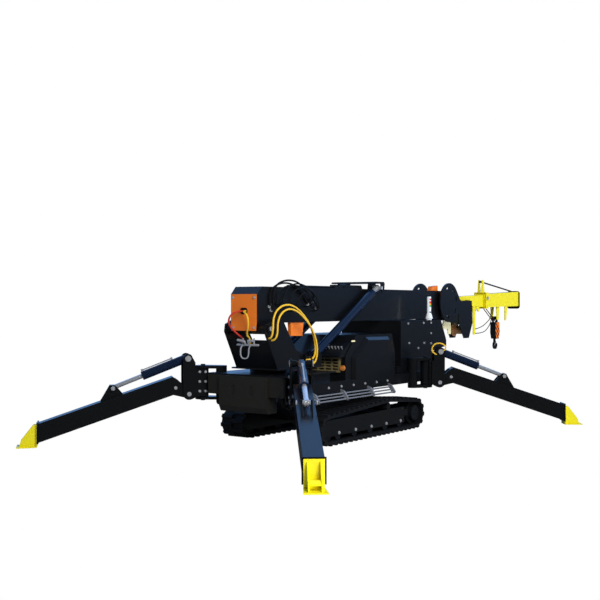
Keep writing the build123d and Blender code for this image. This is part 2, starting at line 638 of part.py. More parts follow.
# Saddle over the boom: a raised yoke with open cheeks for both lift cylinder eyes
eye_half = 25.0
cheek_in = LIFT_Y - LIFT_BARREL_R - SWING_GAP
cheek_out = LIFT_Y + LIFT_BARREL_R + SWING_GAP
YOKE_LOW = 1758.0
YOKE_TOP = 1780.0
YOKE_REAR = -140.0
YOKE_FRONT = 85.0
with BuildPart() as boom_saddle:
    with BuildSketch(side(-cheek_out - CHEEK)):
        Polygon(*mirror_x([(LIFT_TOP_X + YOKE_REAR, YOKE_LOW), (LIFT_TOP_X + YOKE_FRONT, YOKE_LOW),
                           (LIFT_TOP_X + YOKE_FRONT - 20, YOKE_TOP),
                           (LIFT_TOP_X + YOKE_REAR + 15, YOKE_TOP)]), align=None)
    extrude(amount=2 * (cheek_out + CHEEK))
    for low_y in (-cheek_out - CHEEK, cheek_out):
        with BuildSketch(side(low_y)):
            Polygon(*mirror_x([(LIFT_TOP_X, YOKE_LOW + 2), (LIFT_TOP_X + YOKE_FRONT, YOKE_LOW + 2),
                               (LIFT_TOP_X + YOKE_FRONT - 15, 1650),
                               (LIFT_TOP_X + YOKE_FRONT - 60, 1650)]), align=None)
        extrude(amount=CHEEK)
    for low_y in (-cheek_in, BOOM_HALF_Y):
        with BuildSketch(side(low_y)):
            Polygon(*mirror_x([(LIFT_TOP_X - 130, 1530), (LIFT_TOP_X + 30, 1530),
                               (LIFT_TOP_X + YOKE_FRONT, YOKE_LOW + 2),
                               (LIFT_TOP_X + YOKE_REAR + 60, YOKE_LOW + 2)]), align=None)
        extrude(amount=cheek_in - BOOM_HALF_Y)
save(boom_saddle.part, "boom_saddle")

# Sliding sections
mid_y = inside_y - SECTION_GAP
mid_low = inside_low + SECTION_GAP
mid_top = inside_top - SECTION_GAP
collar_x = BOOM_FRONT_X + SWING_GAP
mid_front = collar_x + MID_COLLAR
with BuildPart() as boom_mid:
    with BuildSketch(SECTION.offset(MID_REAR_X)):
        ring(mid_y, mid_low, mid_top, SECTION_WALL)
    extrude(amount=mid_front - MID_REAR_X)
    with BuildSketch(SECTION.offset(collar_x)):
        ring(BOOM_HALF_Y, BOOM_LOW, BOOM_TOP, BOOM_HALF_Y - mid_y + SECTION_WALL)
    extrude(amount=MID_COLLAR)
    with BuildSketch(SECTION.offset(MID_REAR_X)):
        pads(mid_y, mid_low, mid_top, -pad)
    extrude(amount=SECTION_SHOE)
    with BuildSketch(SECTION.offset(mid_front - SECTION_SHOE)):
        pads(mid_y - SECTION_WALL, mid_low + SECTION_WALL, mid_top - SECTION_WALL, pad)
    extrude(amount=SECTION_SHOE)
save(boom_mid.part, "boom_mid")

inner_y = mid_y - SECTION_WALL - SECTION_GAP
inner_low = mid_low + SECTION_WALL + SECTION_GAP
inner_top = mid_top - SECTION_WALL - SECTION_GAP
inner_collar = mid_front + SWING_GAP
inner_front = inner_collar + MID_COLLAR
with BuildPart() as boom_inner:
    with BuildSketch(SECTION.offset(INNER_REAR_X)):
        ring(inner_y, inner_low, inner_top, SECTION_WALL)
    extrude(amount=inner_front - INNER_REAR_X)
    with BuildSketch(SECTION.offset(inner_collar)):
        ring(BOOM_HALF_Y, BOOM_LOW, BOOM_TOP, BOOM_HALF_Y - inner_y + SECTION_WALL)
    extrude(amount=MID_COLLAR)
    with BuildSketch(SECTION.offset(INNER_REAR_X)):
        pads(inner_y, inner_low, inner_top, -pad)
    extrude(amount=SECTION_SHOE)
save(boom_inner.part, "boom_inner")

# Boom head: two round plates on a hollow block, with the jib's pin and the jib cylinder's pin
head_half = HEAD_PLATE_Y + HEAD_PLATE
with BuildPart() as boom_head:
    with BuildSketch(side(-HEAD_PLATE_Y)):
        Polygon(*mirror_x([(inner_front, 1340), (inner_front, 1660), (2700, 1640), (2700, 1400)]),
                align=None)
    extrude(amount=2 * HEAD_PLATE_Y)
    with BuildSketch(side(-HEAD_PLATE_Y)):
        Polygon(*mirror_x([(inner_front + 12, 1354), (inner_front + 12, 1646), (2688, 1628),
                           (2688, 1408)]), align=None)
    extrude(amount=2 * HEAD_PLATE_Y, mode=Mode.SUBTRACT)
    for low_y in (-head_half, HEAD_PLATE_Y):
        with BuildSketch(side(low_y)):
            disc(HEAD_DISC_X, HEAD_DISC_Z, HEAD_DISC_R)
            disc(JIB_PIVOT_X, JIB_PIVOT_Z, JIB_PIVOT_BOSS_R)
            disc(JIB_LUG_X, JIB_LUG_Z, 62)
            make_hull()
            for turn in HEAD_SLOT_TURNS:
                with Locations((-HEAD_DISC_X, HEAD_DISC_Z)):
                    with PolarLocations(HEAD_SLOT_R, 1, start_angle=turn):
                        SlotOverall(80, 26, rotation=90, mode=Mode.SUBTRACT)
        extrude(amount=HEAD_PLATE)
    with BuildSketch(side(-head_half)):
        disc(JIB_PIVOT_X, JIB_PIVOT_Z, JIB_PIN_R)
        disc(JIB_LUG_X, JIB_LUG_Z, JIB_CYL_PIN_R)
    extrude(amount=2 * head_half)
    for low_y in (-HEAD_PLATE_Y, JIB_BARREL_R + SWING_GAP):
        with BuildSketch(side(low_y)):
            disc(JIB_LUG_X, JIB_LUG_Z, 30)
        extrude(amount=HEAD_PLATE_Y - JIB_BARREL_R - SWING_GAP)
save(boom_head.part, "boom_head")


# Cylinders: a hinged barrel with its eye and gland, and a rod whose eye stays open
def make_cylinder(name, plane, low, top, barrel_r, length, rod_r, pin_r, eye_r, eye_w, hands):
    """Barrel and rod between two pins in an upright plane: low is the barrel's pin, top
    the rod's eye. The rod's own short pin sits between open cheeks. A cylinder is
    repeated at each of the distances that hands lists beside the plane."""
    (x0, z0), (x1, z1) = low, top
    span = hypot(x1 - x0, z1 - z0)
    lean = degrees(atan2(z1 - z0, x1 - x0))
    axis_of = []
    for beside in hands:
        origin = plane.from_local_coords((x0, z0, beside))
        along = plane.x_dir * cos(radians(lean)) + plane.y_dir * sin(radians(lean))
        axis_of.append((origin, along))
    bore_r = rod_r + PIN_FIT
    with BuildPart() as barrel:
        for origin, along in axis_of:
            cross = Plane(origin=origin, x_dir=plane.z_dir, z_dir=along)
            upright = Plane(origin=origin, x_dir=along, z_dir=plane.z_dir)
            with BuildSketch(cross.offset(eye_r * 0.6)):
                Circle(barrel_r)
            extrude(amount=length - eye_r * 0.6)
            with BuildSketch(upright):
                Circle(eye_r)
            extrude(amount=eye_w / 2, both=True)
            with BuildSketch(cross.offset(eye_r + 14)):
                Circle(bore_r)
            extrude(amount=length, mode=Mode.SUBTRACT)
            with BuildSketch(upright):
                Circle(pin_r + PIN_FIT)
            extrude(amount=eye_w, both=True, mode=Mode.SUBTRACT)
    save(barrel.part, name + "_barrel")
    rod_start = max(eye_r + 20, span - ROD_LENGTHS[name.split("_cyl")[0]])
    with BuildPart() as rod:
        for origin, along in axis_of:
            cross = Plane(origin=origin, x_dir=plane.z_dir, z_dir=along)
            upright = Plane(origin=origin + along * span, x_dir=along, z_dir=plane.z_dir)
            with BuildSketch(cross.offset(rod_start)):
                Circle(rod_r)
            extrude(amount=span - rod_start)
            with BuildSketch(upright):
                Circle(eye_r * 0.85)
            extrude(amount=eye_w / 2, both=True)
            with BuildSketch(upright):
                Circle(pin_r)
            extrude(amount=eye_w / 2 + 12, both=True)
    save(rod.part, name + "_rod")


# Length of each rod from its eye
ROD_LENGTHS = {"lift": 1470.0, "jib": 860.0, "base_left": 525.0, "base_right": 525.0,
               "head_right": 525.0, "head_left": 525.0}
LIFT_SPAN = hypot(LIFT_TOP_X - LIFT_LOW_X, LIFT_TOP_Z - LIFT_LOW_Z)
make_cylinder("lift_cyl", SIDE, (LIFT_LOW_X, LIFT_LOW_Z), (LIFT_TOP_X, LIFT_TOP_Z),
              LIFT_BARREL_R, LIFT_SPAN - LIFT_ROD_SHOWN, LIFT_ROD_R, LIFT_PIN_R, LIFT_EYE_R,
              2 * eye_half, (-LIFT_Y, LIFT_Y))
jib_eye_half = 23.0
make_cylinder("jib_cyl", SIDE, (JIB_LUG_X, JIB_LUG_Z), (JIB_EYE_X, JIB_EYE_Z - 10),
              JIB_BARREL_R, JIB_BARREL_LENGTH, JIB_ROD_R, JIB_CYL_PIN_R, 36, 2 * jib_eye_half, (0,))

# Jib: slim root, deeper front box, hanging cheeks for the hook
with BuildPart() as jib_beam:
    with BuildSketch(side(-60)):
        Polygon(*mirror_x([(2890, 1450), (3100, 1478), (3400, 1492), (4170, 1462), (4170, 1650),
                           (3400, 1624), (3100, 1592), (2890, 1568)]), align=None)
    extrude(amount=120)
    with BuildSketch(side(-60 + JIB_WALL)):
        Polygon(*mirror_x([(3010, 1476), (3100, 1486), (3400, 1499), (4120, 1472), (4120, 1640),
                           (3400, 1616), (3100, 1584), (3010, 1574)]), align=None)
    extrude(amount=120 - 2 * JIB_WALL, mode=Mode.SUBTRACT)
    with BuildSketch(side(-90)):
        Polygon(*mirror_x([(4170, 1462), (JIB_TIP_X, 1478), (JIB_TIP_X, 1711), (4170, 1665)]),
                align=None)
    extrude(amount=180)
    with BuildSketch(side(-90 + JIB_WALL)):
        Polygon(*mirror_x([(4180, 1470), (JIB_TIP_X, 1486), (JIB_TIP_X, 1703), (4180, 1657)]),
                align=None)
    extrude(amount=180 - 2 * JIB_WALL, mode=Mode.SUBTRACT)
    with BuildSketch(side(-HEAD_PLATE_Y + SWING_GAP)):
        disc(JIB_PIVOT_X, JIB_PIVOT_Z, 62)
    extrude(amount=2 * (HEAD_PLATE_Y - SWING_GAP))
    with BuildSketch(side(-HEAD_PLATE_Y)):
        disc(JIB_PIVOT_X, JIB_PIVOT_Z, JIB_PIN_R + PIN_FIT)
    extrude(amount=2 * HEAD_PLATE_Y, mode=Mode.SUBTRACT)
    # collar round the joint of both boxes, and the rope lug on top
    with BuildSketch(SECTION.offset(4120)):
        with Locations((0, 1565)):
            Rectangle(204, 250)
            Rectangle(190, 236, mode=Mode.SUBTRACT)
    extrude(amount=85)
    with BuildSketch(SECTION.offset(4150)):
        with Locations((0, 1565)):
            Rectangle(194, 240)
    extrude(amount=19)
    for low_y in (-38, 24):
        with BuildSketch(side(low_y)):
            Polygon(*mirror_x([(4110, 1688), (4200, 1688), (4172, 1880), (4132, 1880)]), align=None)
        extrude(amount=14)
    # ears for the jib cylinder, cheeks for the hook, and the plain leg ahead of them
    ear_in = jib_eye_half + 12 + SWING_GAP
    for low_y in (-ear_in - 12, ear_in):
        with BuildSketch(side(low_y)):
            Polygon(*mirror_x([(3850, 1486), (3990, 1482), (3975, 1395), (3945, 1395)]), align=None)
        extrude(amount=12)
        with BuildSketch(side(low_y)):
            Polygon(*mirror_x([(HOOK_X - 55, 1474), (HOOK_X + 55, 1474),
                               (HOOK_X + 36, HOOK_PIN_Z), (HOOK_X - 36, HOOK_PIN_Z)]), align=None)
            disc(HOOK_X, HOOK_PIN_Z, 36)
        extrude(amount=12)
    with BuildSketch(side(-ear_in - 12)):
        disc(HOOK_X, HOOK_PIN_Z, HOOK_PIN_R)
    extrude(amount=2 * (ear_in + 12))
    with BuildSketch(side(-80)):
        Polygon(*mirror_x([(4860, 1250), (4900, 1250), (4960, 1476), (4860, 1474)]), align=None)
    extrude(amount=16)
    with BuildSketch(side(-58)):
        Polygon(*mirror_x([(3770, 1050), (3835, 1050), (3845, 1480), (3760, 1484)]), align=None)
    extrude(amount=12)
save(jib_beam.part, "jib_beam")

with BuildPart() as jib_end:
    with BuildSketch(SECTION.offset(JIB_TIP_X)):
        with Locations((0, 1580)):
            RectangleRounded(216, 290, 40)
    extrude(amount=JIB_END_PLATE)
save(jib_end.part, "jib_end_plate")

with BuildPart() as jib_rod:
    with BuildSketch(side(-10)):
        Polygon(*mirror_x([(4142, 1862), (4162, 1842), (5255, 1712), (5270, 1728)]), align=None)
    extrude(amount=20)
    for low_y in (-24, 10):
        with BuildSketch(side(low_y)):
            disc(4152, 1852, 20)
        extrude(amount=14)
save(jib_rod.part, "jib_top_rod")

# Winch under the jib
with BuildPart() as winch_frame:
    for low_y in (-117, 105):
        with BuildSketch(side(low_y)):
            Polygon(*mirror_x([(3190, 1560), (3170, 1250), (3340, 1010), (3500, 1010),
                               (3620, 1230), (3600, 1560)]), align=None)
            disc(WINCH_X, WINCH_Z, 20)
        extrude(amount=12)
    for hand in (-1, 1):
        for x in (3250, 3520):
            with BuildSketch(side(60 if hand > 0 else -105)):
                with Locations((-x, 1545)):
                    Rectangle(60, 44)
            extrude(amount=45)
save(winch_frame.part, "winch_frame")

with BuildPart() as winch_drum:
    with BuildSketch(side(-105 + SEAT)):
        disc(WINCH_X, WINCH_Z, WINCH_DRUM_R)
    extrude(amount=2 * (105 - SEAT))
    for low_y in (-92, 80):
        with BuildSketch(side(low_y)):
            disc(WINCH_X, WINCH_Z, 95)
        extrude(amount=12)
save(winch_drum.part, "winch_drum")

# Hook block and hook, hanging from the pin between the cheeks
with BuildPart() as hook_block:
    for low_y in (-ear_in + 4, ear_in - 16):
        with BuildSketch(side(low_y)):
            disc(HOOK_X, HOOK_PIN_Z, 28)
            Polygon(*mirror_x([(HOOK_X - 28, HOOK_PIN_Z), (HOOK_X + 28, HOOK_PIN_Z),
                               (HOOK_X + 28, 1215), (HOOK_X - 28, 1215)]), align=None)
        extrude(amount=12)
    with BuildSketch(side(-ear_in + 4)):
        disc(HOOK_X, HOOK_PIN_Z, 28)
    extrude(amount=2 * (ear_in - 4))
    with BuildSketch(side(-ear_in - 4)):
        Polygon(*mirror_x([(HOOK_X - 70, 1225), (HOOK_X + 70, 1225), (HOOK_X + 78, 1060),
                           (HOOK_X + 40, 963), (HOOK_X - 40, 963), (HOOK_X - 78, 1060)]), align=None)
    extrude(amount=2 * (ear_in + 4))
    with BuildSketch(side(-ear_in)):
        disc(HOOK_X, HOOK_PIN_Z, HOOK_PIN_R + PIN_FIT)
    extrude(amount=2 * ear_in, mode=Mode.SUBTRACT)
save(hook_block.part, "hook_block")

with BuildPart() as hook:
    with BuildSketch(side(-14)):
        with Locations((-HOOK_X, 862)):
            Circle(62)
            with Locations((-6, 6)):
                Circle(34, mode=Mode.SUBTRACT)
        with Locations((-(HOOK_X + 34), 905)):
            Rectangle(26, 40, rotation=-25, mode=Mode.SUBTRACT)
        with Locations((-(HOOK_X - 16), 937)):
            Rectangle(34, 52)
    extrude(amount=28)
save(hook.part, "hook")


# Outriggers
def leg_plane(row):
    """Upright plane through the swing axis: x runs out along the leg, y is up."""
    name, axis_x, axis_y, heading, reach = row
    a = radians(heading)
    return Plane(origin=(TRACK_X + axis_x, axis_y, 0), x_dir=(cos(a), sin(a), 0),
                 z_dir=(sin(a), -cos(a), 0))


leg_half = LEG_WIDTH / 2
cheek_v = leg_half + SWING_GAP
hub_low = LOWER_LUG_LOW + LUG_PLATE + SEAT
hub_high = UPPER_LUG_LOW - SEAT
for row in OUTRIGGERS:
    name, axis_x, axis_y, heading, reach = row
    plane = leg_plane(row)
    ground = Plane(origin=(TRACK_X + axis_x, axis_y, 0), x_dir=plane.x_dir, z_dir=(0, 0, 1))
    # the cheeks reach back beside the hub only where the side beam leaves room
    cheek_back = -40 if axis_x < 0 else 66
    # swinging bracket: hub between the lug plates, web, cheeks for the leg and its cylinder
    with BuildPart() as bracket:
        with BuildSketch(ground.offset(hub_low)):
            Circle(62)
        extrude(amount=hub_high - hub_low)
        with BuildSketch(ground.offset(LOWER_LUG_LOW - 14)):
            Circle(OUT_PIN_R)
        extrude(amount=UPPER_LUG_LOW + LUG_PLATE + 28 - LOWER_LUG_LOW)
        with BuildSketch(ground.offset(hub_low)):
            with Locations((70, 0)):
                Rectangle(60, 150)
        extrude(amount=hub_high - hub_low)
        for low_v in (-cheek_v - CHEEK, cheek_v):
            with BuildSketch(plane.offset(low_v)):
                Polygon((cheek_back, hub_low + 8), (70, hub_low + 8), (LEG_PIN_U - 30, LEG_PIN_Z - 58),
                        (LEG_PIN_U + 62, LEG_PIN_Z), (CYL_PIN_U + 52, CYL_PIN_Z),
                        (CYL_PIN_U - 30, CYL_PIN_Z + 46), (96, hub_high + 70),
                        (96, hub_high - 8), (cheek_back, hub_high - 8), align=None)
                with Locations((LEG_PIN_U, LEG_PIN_Z)):
                    Circle(62)
                with Locations((CYL_PIN_U, CYL_PIN_Z)):
                    Circle(52)
            extrude(amount=CHEEK)
        with BuildSketch(ground.offset(hub_low + 4)):
            with Locations((85, 0)):
                Rectangle(30, 2 * (cheek_v + 4))
        extrude(amount=hub_high - hub_low - 8)
        with BuildSketch(plane.offset(-cheek_v - CHEEK)):
            with Locations((LEG_PIN_U, LEG_PIN_Z), (CYL_PIN_U, CYL_PIN_Z)):
                Circle(OUT_PIN_R)
        extrude(amount=2 * (cheek_v + CHEEK))
        for low_v in (-cheek_v, CYL_BARREL_R + SWING_GAP):
            with BuildSketch(plane.offset(low_v)):
                with Locations((CYL_PIN_U, CYL_PIN_Z)):
                    Circle(36)
            extrude(amount=cheek_v - CYL_BARREL_R - SWING_GAP)
    save(bracket.part, f"{name}_bracket")

    # leg: bored root, hollow box, ears for the rod, foot with gussets
    slope = atan2(LEG_END_Z - LEG_KNEE_Z, reach - LEG_KNEE_U)
    rise = LEG_HEIGHT / 2 / cos(slope)
    skin = LEG_WALL / cos(slope)
    end_low = LEG_END_Z - rise
    end_high = LEG_END_Z + rise
    with BuildPart() as leg:
        with BuildSketch(plane.offset(-leg_half)):
            Polygon((LEG_KNEE_U, LEG_KNEE_Z + rise), (LEG_KNEE_U, LEG_KNEE_Z - rise),
                    (reach, end_low), (reach, LEG_END_Z + rise), align=None)
        extrude(amount=2 * leg_half)
        with BuildSketch(plane.offset(-leg_half + LEG_WALL)):
            Polygon((LEG_KNEE_U + 12, LEG_KNEE_Z + rise - skin - 4),
                    (LEG_KNEE_U + 12, LEG_KNEE_Z - rise + skin - 4),
                    (reach, end_low + skin), (reach, LEG_END_Z + rise - skin), align=None)
        extrude(amount=2 * (leg_half - LEG_WALL), mode=Mode.SUBTRACT)
        with BuildSketch(plane.offset(-leg_half)):
            with Locations((LEG_PIN_U, LEG_PIN_Z)):
                Circle(50)
            Polygon((LEG_PIN_U, LEG_PIN_Z + 50), (LEG_PIN_U, LEG_PIN_Z - 50),
                    (LEG_KNEE_U + 6, LEG_KNEE_Z - rise + 4), (LEG_KNEE_U + 6, LEG_KNEE_Z + rise - 4),
                    (LEG_KNEE_U - 45, LEG_KNEE_Z + rise - 30), align=None)
        extrude(amount=2 * leg_half)
        with BuildSketch(plane.offset(-leg_half + 20)):
            Polygon((LEG_PIN_U - 60, LEG_PIN_Z + 70), (LEG_PIN_U - 60, LEG_PIN_Z - 70),
                    (LEG_KNEE_U + 8, LEG_KNEE_Z - rise + 30), (LEG_KNEE_U + 8, LEG_KNEE_Z + 74),
                    (LEG_KNEE_U - 45, LEG_KNEE_Z + 74), align=None)
        extrude(amount=2 * (leg_half - 20), mode=Mode.SUBTRACT)
        with BuildSketch(plane.offset(-leg_half)):
            with Locations((LEG_PIN_U, LEG_PIN_Z)):
                Circle(50)
                Circle(OUT_PIN_R + PIN_FIT, mode=Mode.SUBTRACT)
        extrude(amount=2 * leg_half)
        with BuildSketch(plane.offset(-leg_half - 1)):
            with Locations((LEG_PIN_U, LEG_PIN_Z)):
                Circle(OUT_PIN_R + PIN_FIT)
        extrude(amount=2 * leg_half + 2, mode=Mode.SUBTRACT)
        # ears that leave the rod's eye open
        top_at = LEG_KNEE_Z + rise + (EYE_PIN_U - LEG_KNEE_U) * (LEG_END_Z - LEG_KNEE_Z) / (
            reach - LEG_KNEE_U)
        ear_v = 24 + 12 + SWING_GAP
        for low_v in (-ear_v - 12, ear_v):
            with BuildSketch(plane.offset(low_v)):
                Polygon((EYE_PIN_U - 110, top_at + 30), (EYE_PIN_U - 25, EYE_PIN_Z + 30),
                        (EYE_PIN_U + 30, EYE_PIN_Z + 30), (EYE_PIN_U + 135, top_at - 50),
                        align=None)
            extrude(amount=12)
        # dark flange round the open end
        with BuildSketch(plane.offset(-foot_half)):
            Polygon((reach, end_low - FLANGE_PROUD), (reach + FLANGE, end_low - FLANGE_PROUD),
                    (reach + FLANGE, end_high + FLANGE_PROUD), (reach, end_high + FLANGE_PROUD),
                    align=None)
        extrude(amount=2 * foot_half)
        with BuildSketch(plane.offset(-leg_half + LEG_WALL)):
            Polygon((reach - 1, end_low + skin), (reach + FLANGE + 1, end_low + skin),
                    (reach + FLANGE + 1, end_high - skin), (reach - 1, end_high - skin), align=None)
        extrude(amount=2 * (leg_half - LEG_WALL), mode=Mode.SUBTRACT)
    save(leg.part, f"{name}_leg")

    # foot: end plate in the flange, two ribs with a cross bar, floor plate
    face = reach + FLANGE
    with BuildPart() as foot:
        with BuildSketch(plane.offset(-leg_half + 2)):
            Polygon((face, 0), (face + 10, 0), (face + 10, end_high - 2), (face, end_high - 2),
                    align=None)
        extrude(amount=2 * (leg_half - 2))
        with BuildSketch(ground):
            Polygon((face, -leg_half + 2), (reach + FOOT_OVERHANG, -foot_half),
                    (reach + FOOT_OVERHANG, foot_half), (face, leg_half - 2), align=None)
        extrude(amount=FOOT_PLATE)
        for low_v in (-RIB_V - RIB, RIB_V):
            with BuildSketch(plane.offset(low_v)):
                Polygon((face + 8, FOOT_PLATE - 2), (reach + FOOT_OVERHANG - 30, FOOT_PLATE - 2),
                        (reach + FOOT_OVERHANG - 45, 72), (face + 40, end_high - 20),
                        (face + 8, end_high - 20), align=None)
            extrude(amount=RIB)
        with BuildSketch(plane.offset(-RIB_V - 1)):
            Polygon((reach + FOOT_OVERHANG - 75, 60), (reach + FOOT_OVERHANG - 45, 60),
                    (reach + FOOT_OVERHANG - 50, 74), (reach + FOOT_OVERHANG - 90, 98), align=None)
        extrude(amount=2 * RIB_V + 2)
    save(foot.part, f"{name}_foot")
    make_cylinder(f"{name}_cyl", plane, (CYL_PIN_U, CYL_PIN_Z), (EYE_PIN_U, EYE_PIN_Z),
                  CYL_BARREL_R, CYL_BARREL_LENGTH, CYL_ROD_R, OUT_PIN_R, CYL_EYE_R, 48, (0,))

# Engine hood with its block, side covers, grille, controls, lamp
hood_line = [(HOOD_FRONT_X, DECK_TOP), (HOOD_FRONT_X, 925), (-60, HOOD_TOP), (720, HOOD_TOP),
             (HOOD_REAR_X, 900), (HOOD_REAR_X, DECK_TOP)]
with BuildPart() as hood:
    with BuildSketch(side(-HOOD_HALF_Y)):
        Polygon(*mirror_x(hood_line), align=None)
    extrude(amount=2 * HOOD_HALF_Y)
    with BuildSketch(side(-HOOD_HALF_Y + HOOD_WALL)):
        Polygon(*mirror_x([(HOOD_FRONT_X + 5, DECK_TOP), (HOOD_FRONT_X + 5, 922),
                           (-58, HOOD_TOP - 5), (717, HOOD_TOP - 5), (HOOD_REAR_X - 5, 898),
                           (HOOD_REAR_X - 5, DECK_TOP)]), align=None)
    extrude(amount=2 * (HOOD_HALF_Y - HOOD_WALL), mode=Mode.SUBTRACT)
save(hood.part, "engine_hood")

cover_outline = [(-162, DECK_TOP), (-174, 902), (122, 1125), (625, 1118), (767, DECK_TOP)]
with BuildPart() as covers:
    for low_y in (HOOD_HALF_Y, -HOOD_HALF_Y - COVER_THICKNESS):
        with BuildSketch(side(low_y)):
            Polygon(*mirror_x(cover_outline), align=None)
        extrude(amount=COVER_THICKNESS)
    for outer in (covers.faces().sort_by(Axis.Y)[0], covers.faces().sort_by(Axis.Y)[-1]):
        chamfer(outer.edges().sort_by(Axis.Z)[1:], COVER_THICKNESS - 4)
save(covers.part, "hood_covers")

with BuildPart() as engine:
    with BuildSketch(PLAN.offset(DECK_TOP)):
        with Locations((350, 0)):
            Rectangle(560, 460)
    extrude(amount=360)
save(engine.part, "engine_block")

with BuildPart() as console:
    with BuildSketch(side(-450)):
        Polygon(*mirror_x([(HOOD_FRONT_X, 908), (-400, 908), (-400, 926), (-190, 1068),
                           (-160, 1052.3), (HOOD_FRONT_X, 925.2)]), align=None)
    extrude(amount=400)
save(console.part, "control_console")

with BuildPart() as levers:
    slant = atan2(1068 - 926, 210)
    normal = (-sin(slant), 0, cos(slant))
    for i in range(LEVER_COUNT):
        foot = Plane(origin=(TRACK_X - 295, LEVER_FIRST_Y + i * LEVER_PITCH, 997),
                     x_dir=(0, 1, 0), z_dir=normal)
        with BuildSketch(foot):
            Circle(5)
        extrude(amount=LEVER_LENGTH - 12)
        with BuildSketch(foot.offset(LEVER_LENGTH - 14)):
            Circle(9)
        extrude(amount=14)
save(levers.part, "control_levers")

with BuildPart() as grille:
    with BuildSketch(SECTION.offset(HOOD_FRONT_X - 25)):
        with Locations(((GRILLE_Y0 + GRILLE_Y1) / 2, (GRILLE_Z0 + GRILLE_Z1) / 2)):
            Rectangle(GRILLE_Y1 - GRILLE_Y0, GRILLE_Z1 - GRILLE_Z0)
            with GridLocations(96, 34, 4, 4):
                Rectangle(80, 20, mode=Mode.SUBTRACT)
    extrude(amount=25)
save(grille.part, "radiator_grille")

with BuildPart() as lamp:
    with BuildSketch(SECTION.offset(HOOD_FRONT_X - 40)):
        with Locations((-430, 785)):
            Circle(20)
    extrude(amount=40)
    with BuildSketch(SECTION.offset(HOOD_FRONT_X - 26)):
        with Locations((-430, 785)):
            Circle(30)
            Circle(24, mode=Mode.SUBTRACT)
    extrude(amount=26)
save(lamp.part, "side_lamp")

# Tower, stack light and pipes along the side
with BuildPart() as tower:
    with BuildSketch(side(-TOWER_HALF_Y)):
        Polygon(*mirror_x([(870, DECK_TOP), (1780, DECK_TOP), (1780, 900), (2170, 950), (2170, 1030),
                           (2020, TOWER_TOP), (970, TOWER_TOP), (970, 745), (870, 745)]), align=None)
    extrude(amount=2 * TOWER_HALF_Y)
    with BuildSketch(side(-TOWER_HALF_Y + TOWER_WALL)):
        Polygon(*mirror_x([(976, DECK_TOP), (1774, DECK_TOP), (1774, 905), (2164, 955), (2164, 1028),
                           (2016, TOWER_TOP - 6), (976, TOWER_TOP - 6)]), align=None)
    extrude(amount=2 * (TOWER_HALF_Y - TOWER_WALL), mode=Mode.SUBTRACT)
save(tower.part, "rest_tower")

with BuildPart() as stack:
    with BuildSketch(PLAN.offset(TOWER_TOP)):
        with Locations((STACK_X, STACK_Y)):
            Circle(38)
    extrude(amount=18)
    with BuildSketch(PLAN.offset(TOWER_TOP + 18)):
        with Locations((STACK_X, STACK_Y)):
            Circle(26)
    extrude(amount=STACK_TOP - TOWER_TOP - 18)
save(stack.part, "stack_light")

with BuildPart() as pipes:
    # height, distance from the middle
    for z, y in ((520, 535), (490, 556), (460, 577)):
        with BuildSketch(SECTION.offset(-1040)):
            with Locations((-y, z)):
                Circle(9)
        extrude(amount=1640)
    for x in (-1000, -450, 100, 560):
        with BuildSketch(SECTION.offset(x)):
            Polygon((-CHASSIS_HALF_Y, 535), (-CHASSIS_HALF_Y, 560), (-545, 545), (-598, 468),
                    (-590, 446), (-560, 446), align=None)
        extrude(amount=24)
save(pipes.part, "side_pipes")


# Hoses: straight runs with tangent bends, from fitting to fitting
def hose(points, bend, radius):
    """One hose inside the current part, along points given from the middle of the tracks."""
    route = [(TRACK_X + x, y, z) for x, y, z in points]
    with BuildLine(mode=Mode.PRIVATE) as path:
        FilletPolyline(*route, radius=bend)
    line = path.line
    with BuildSketch(Plane(origin=line @ 0, z_dir=line % 0), mode=Mode.PRIVATE) as cut:
        Circle(radius)
    sweep(cut.sketch, path=line)


HOSE_R = 10.0
plate_out = -TURRET_PLATE_Y - TURRET_PLATE
# start X, start Z, top X, top Z, end X, end Z, distance to the right
BOOM_LOOPS = [
    (-1330, 1480, -1120, 1745, -640, 1500, 196),
    (-1300, 1440, -1080, 1775, -560, 1530, 219),
    (-1270, 1500, -1040, 1720, -480, 1460, 242),
]
with BuildPart() as hoses_boom:
    for x0, z0, xt, zt, x1, z1, away in BOOM_LOOPS:
        hose([(x0, -BOOM_HALF_Y, z0), (x0, -away, z0), (x0, -away, zt - 80), (xt, -away, zt),
              (xt + 260, -away, zt - 30), (x1, -away, z1), (x1, -BOOM_HALF_Y, z1)], 14, HOSE_R)
save(hoses_boom.part, "hoses_boom")

with BuildPart() as hoses_turret:
    for away, drop in ((336, 0), (360, 45)):
        hose([(-1455 + drop, plate_out, 1150 - drop / 2), (-1455 + drop, -away, 1150 - drop / 2),
              (-1450 + drop, -away, 1440 - drop), (-1150, -away, 1530 - drop),
              (-820, -away, 1330 - drop), (-690, -away, 1060), (-720, -away, 910 - drop),
              (-847, -away, 900 - drop), (-847, -TURRET_HALF_Y, 900 - drop)], 14, HOSE_R)
save(hoses_turret.part, "hoses_turret")

# hoses from the opening in the boom's rear plate down to the clamp block
with BuildPart() as hoses_rear:
    hose([(BOOM_REAR_X, 14, REAR_HOLE_Z), (-1600, 14, REAR_HOLE_Z), (-1660, 80, 1390),
          (-1650, 110, 1290), (-1540, 60, 1180), (CLAMP_X, 60, 1150), (CLAMP_X, 60, CLAMP_TOP)],
         18, HOSE_R)
    hose([(BOOM_REAR_X, -22, REAR_HOLE_Z), (-1575, -22, REAR_HOLE_Z), (-1600, -110, 1400),
          (-1590, -120, 1290), (-1530, -40, 1180), (CLAMP_X, -40, 1150),
          (CLAMP_X, -40, CLAMP_TOP)], 18, HOSE_R)
save(hoses_rear.part, "hoses_rear")

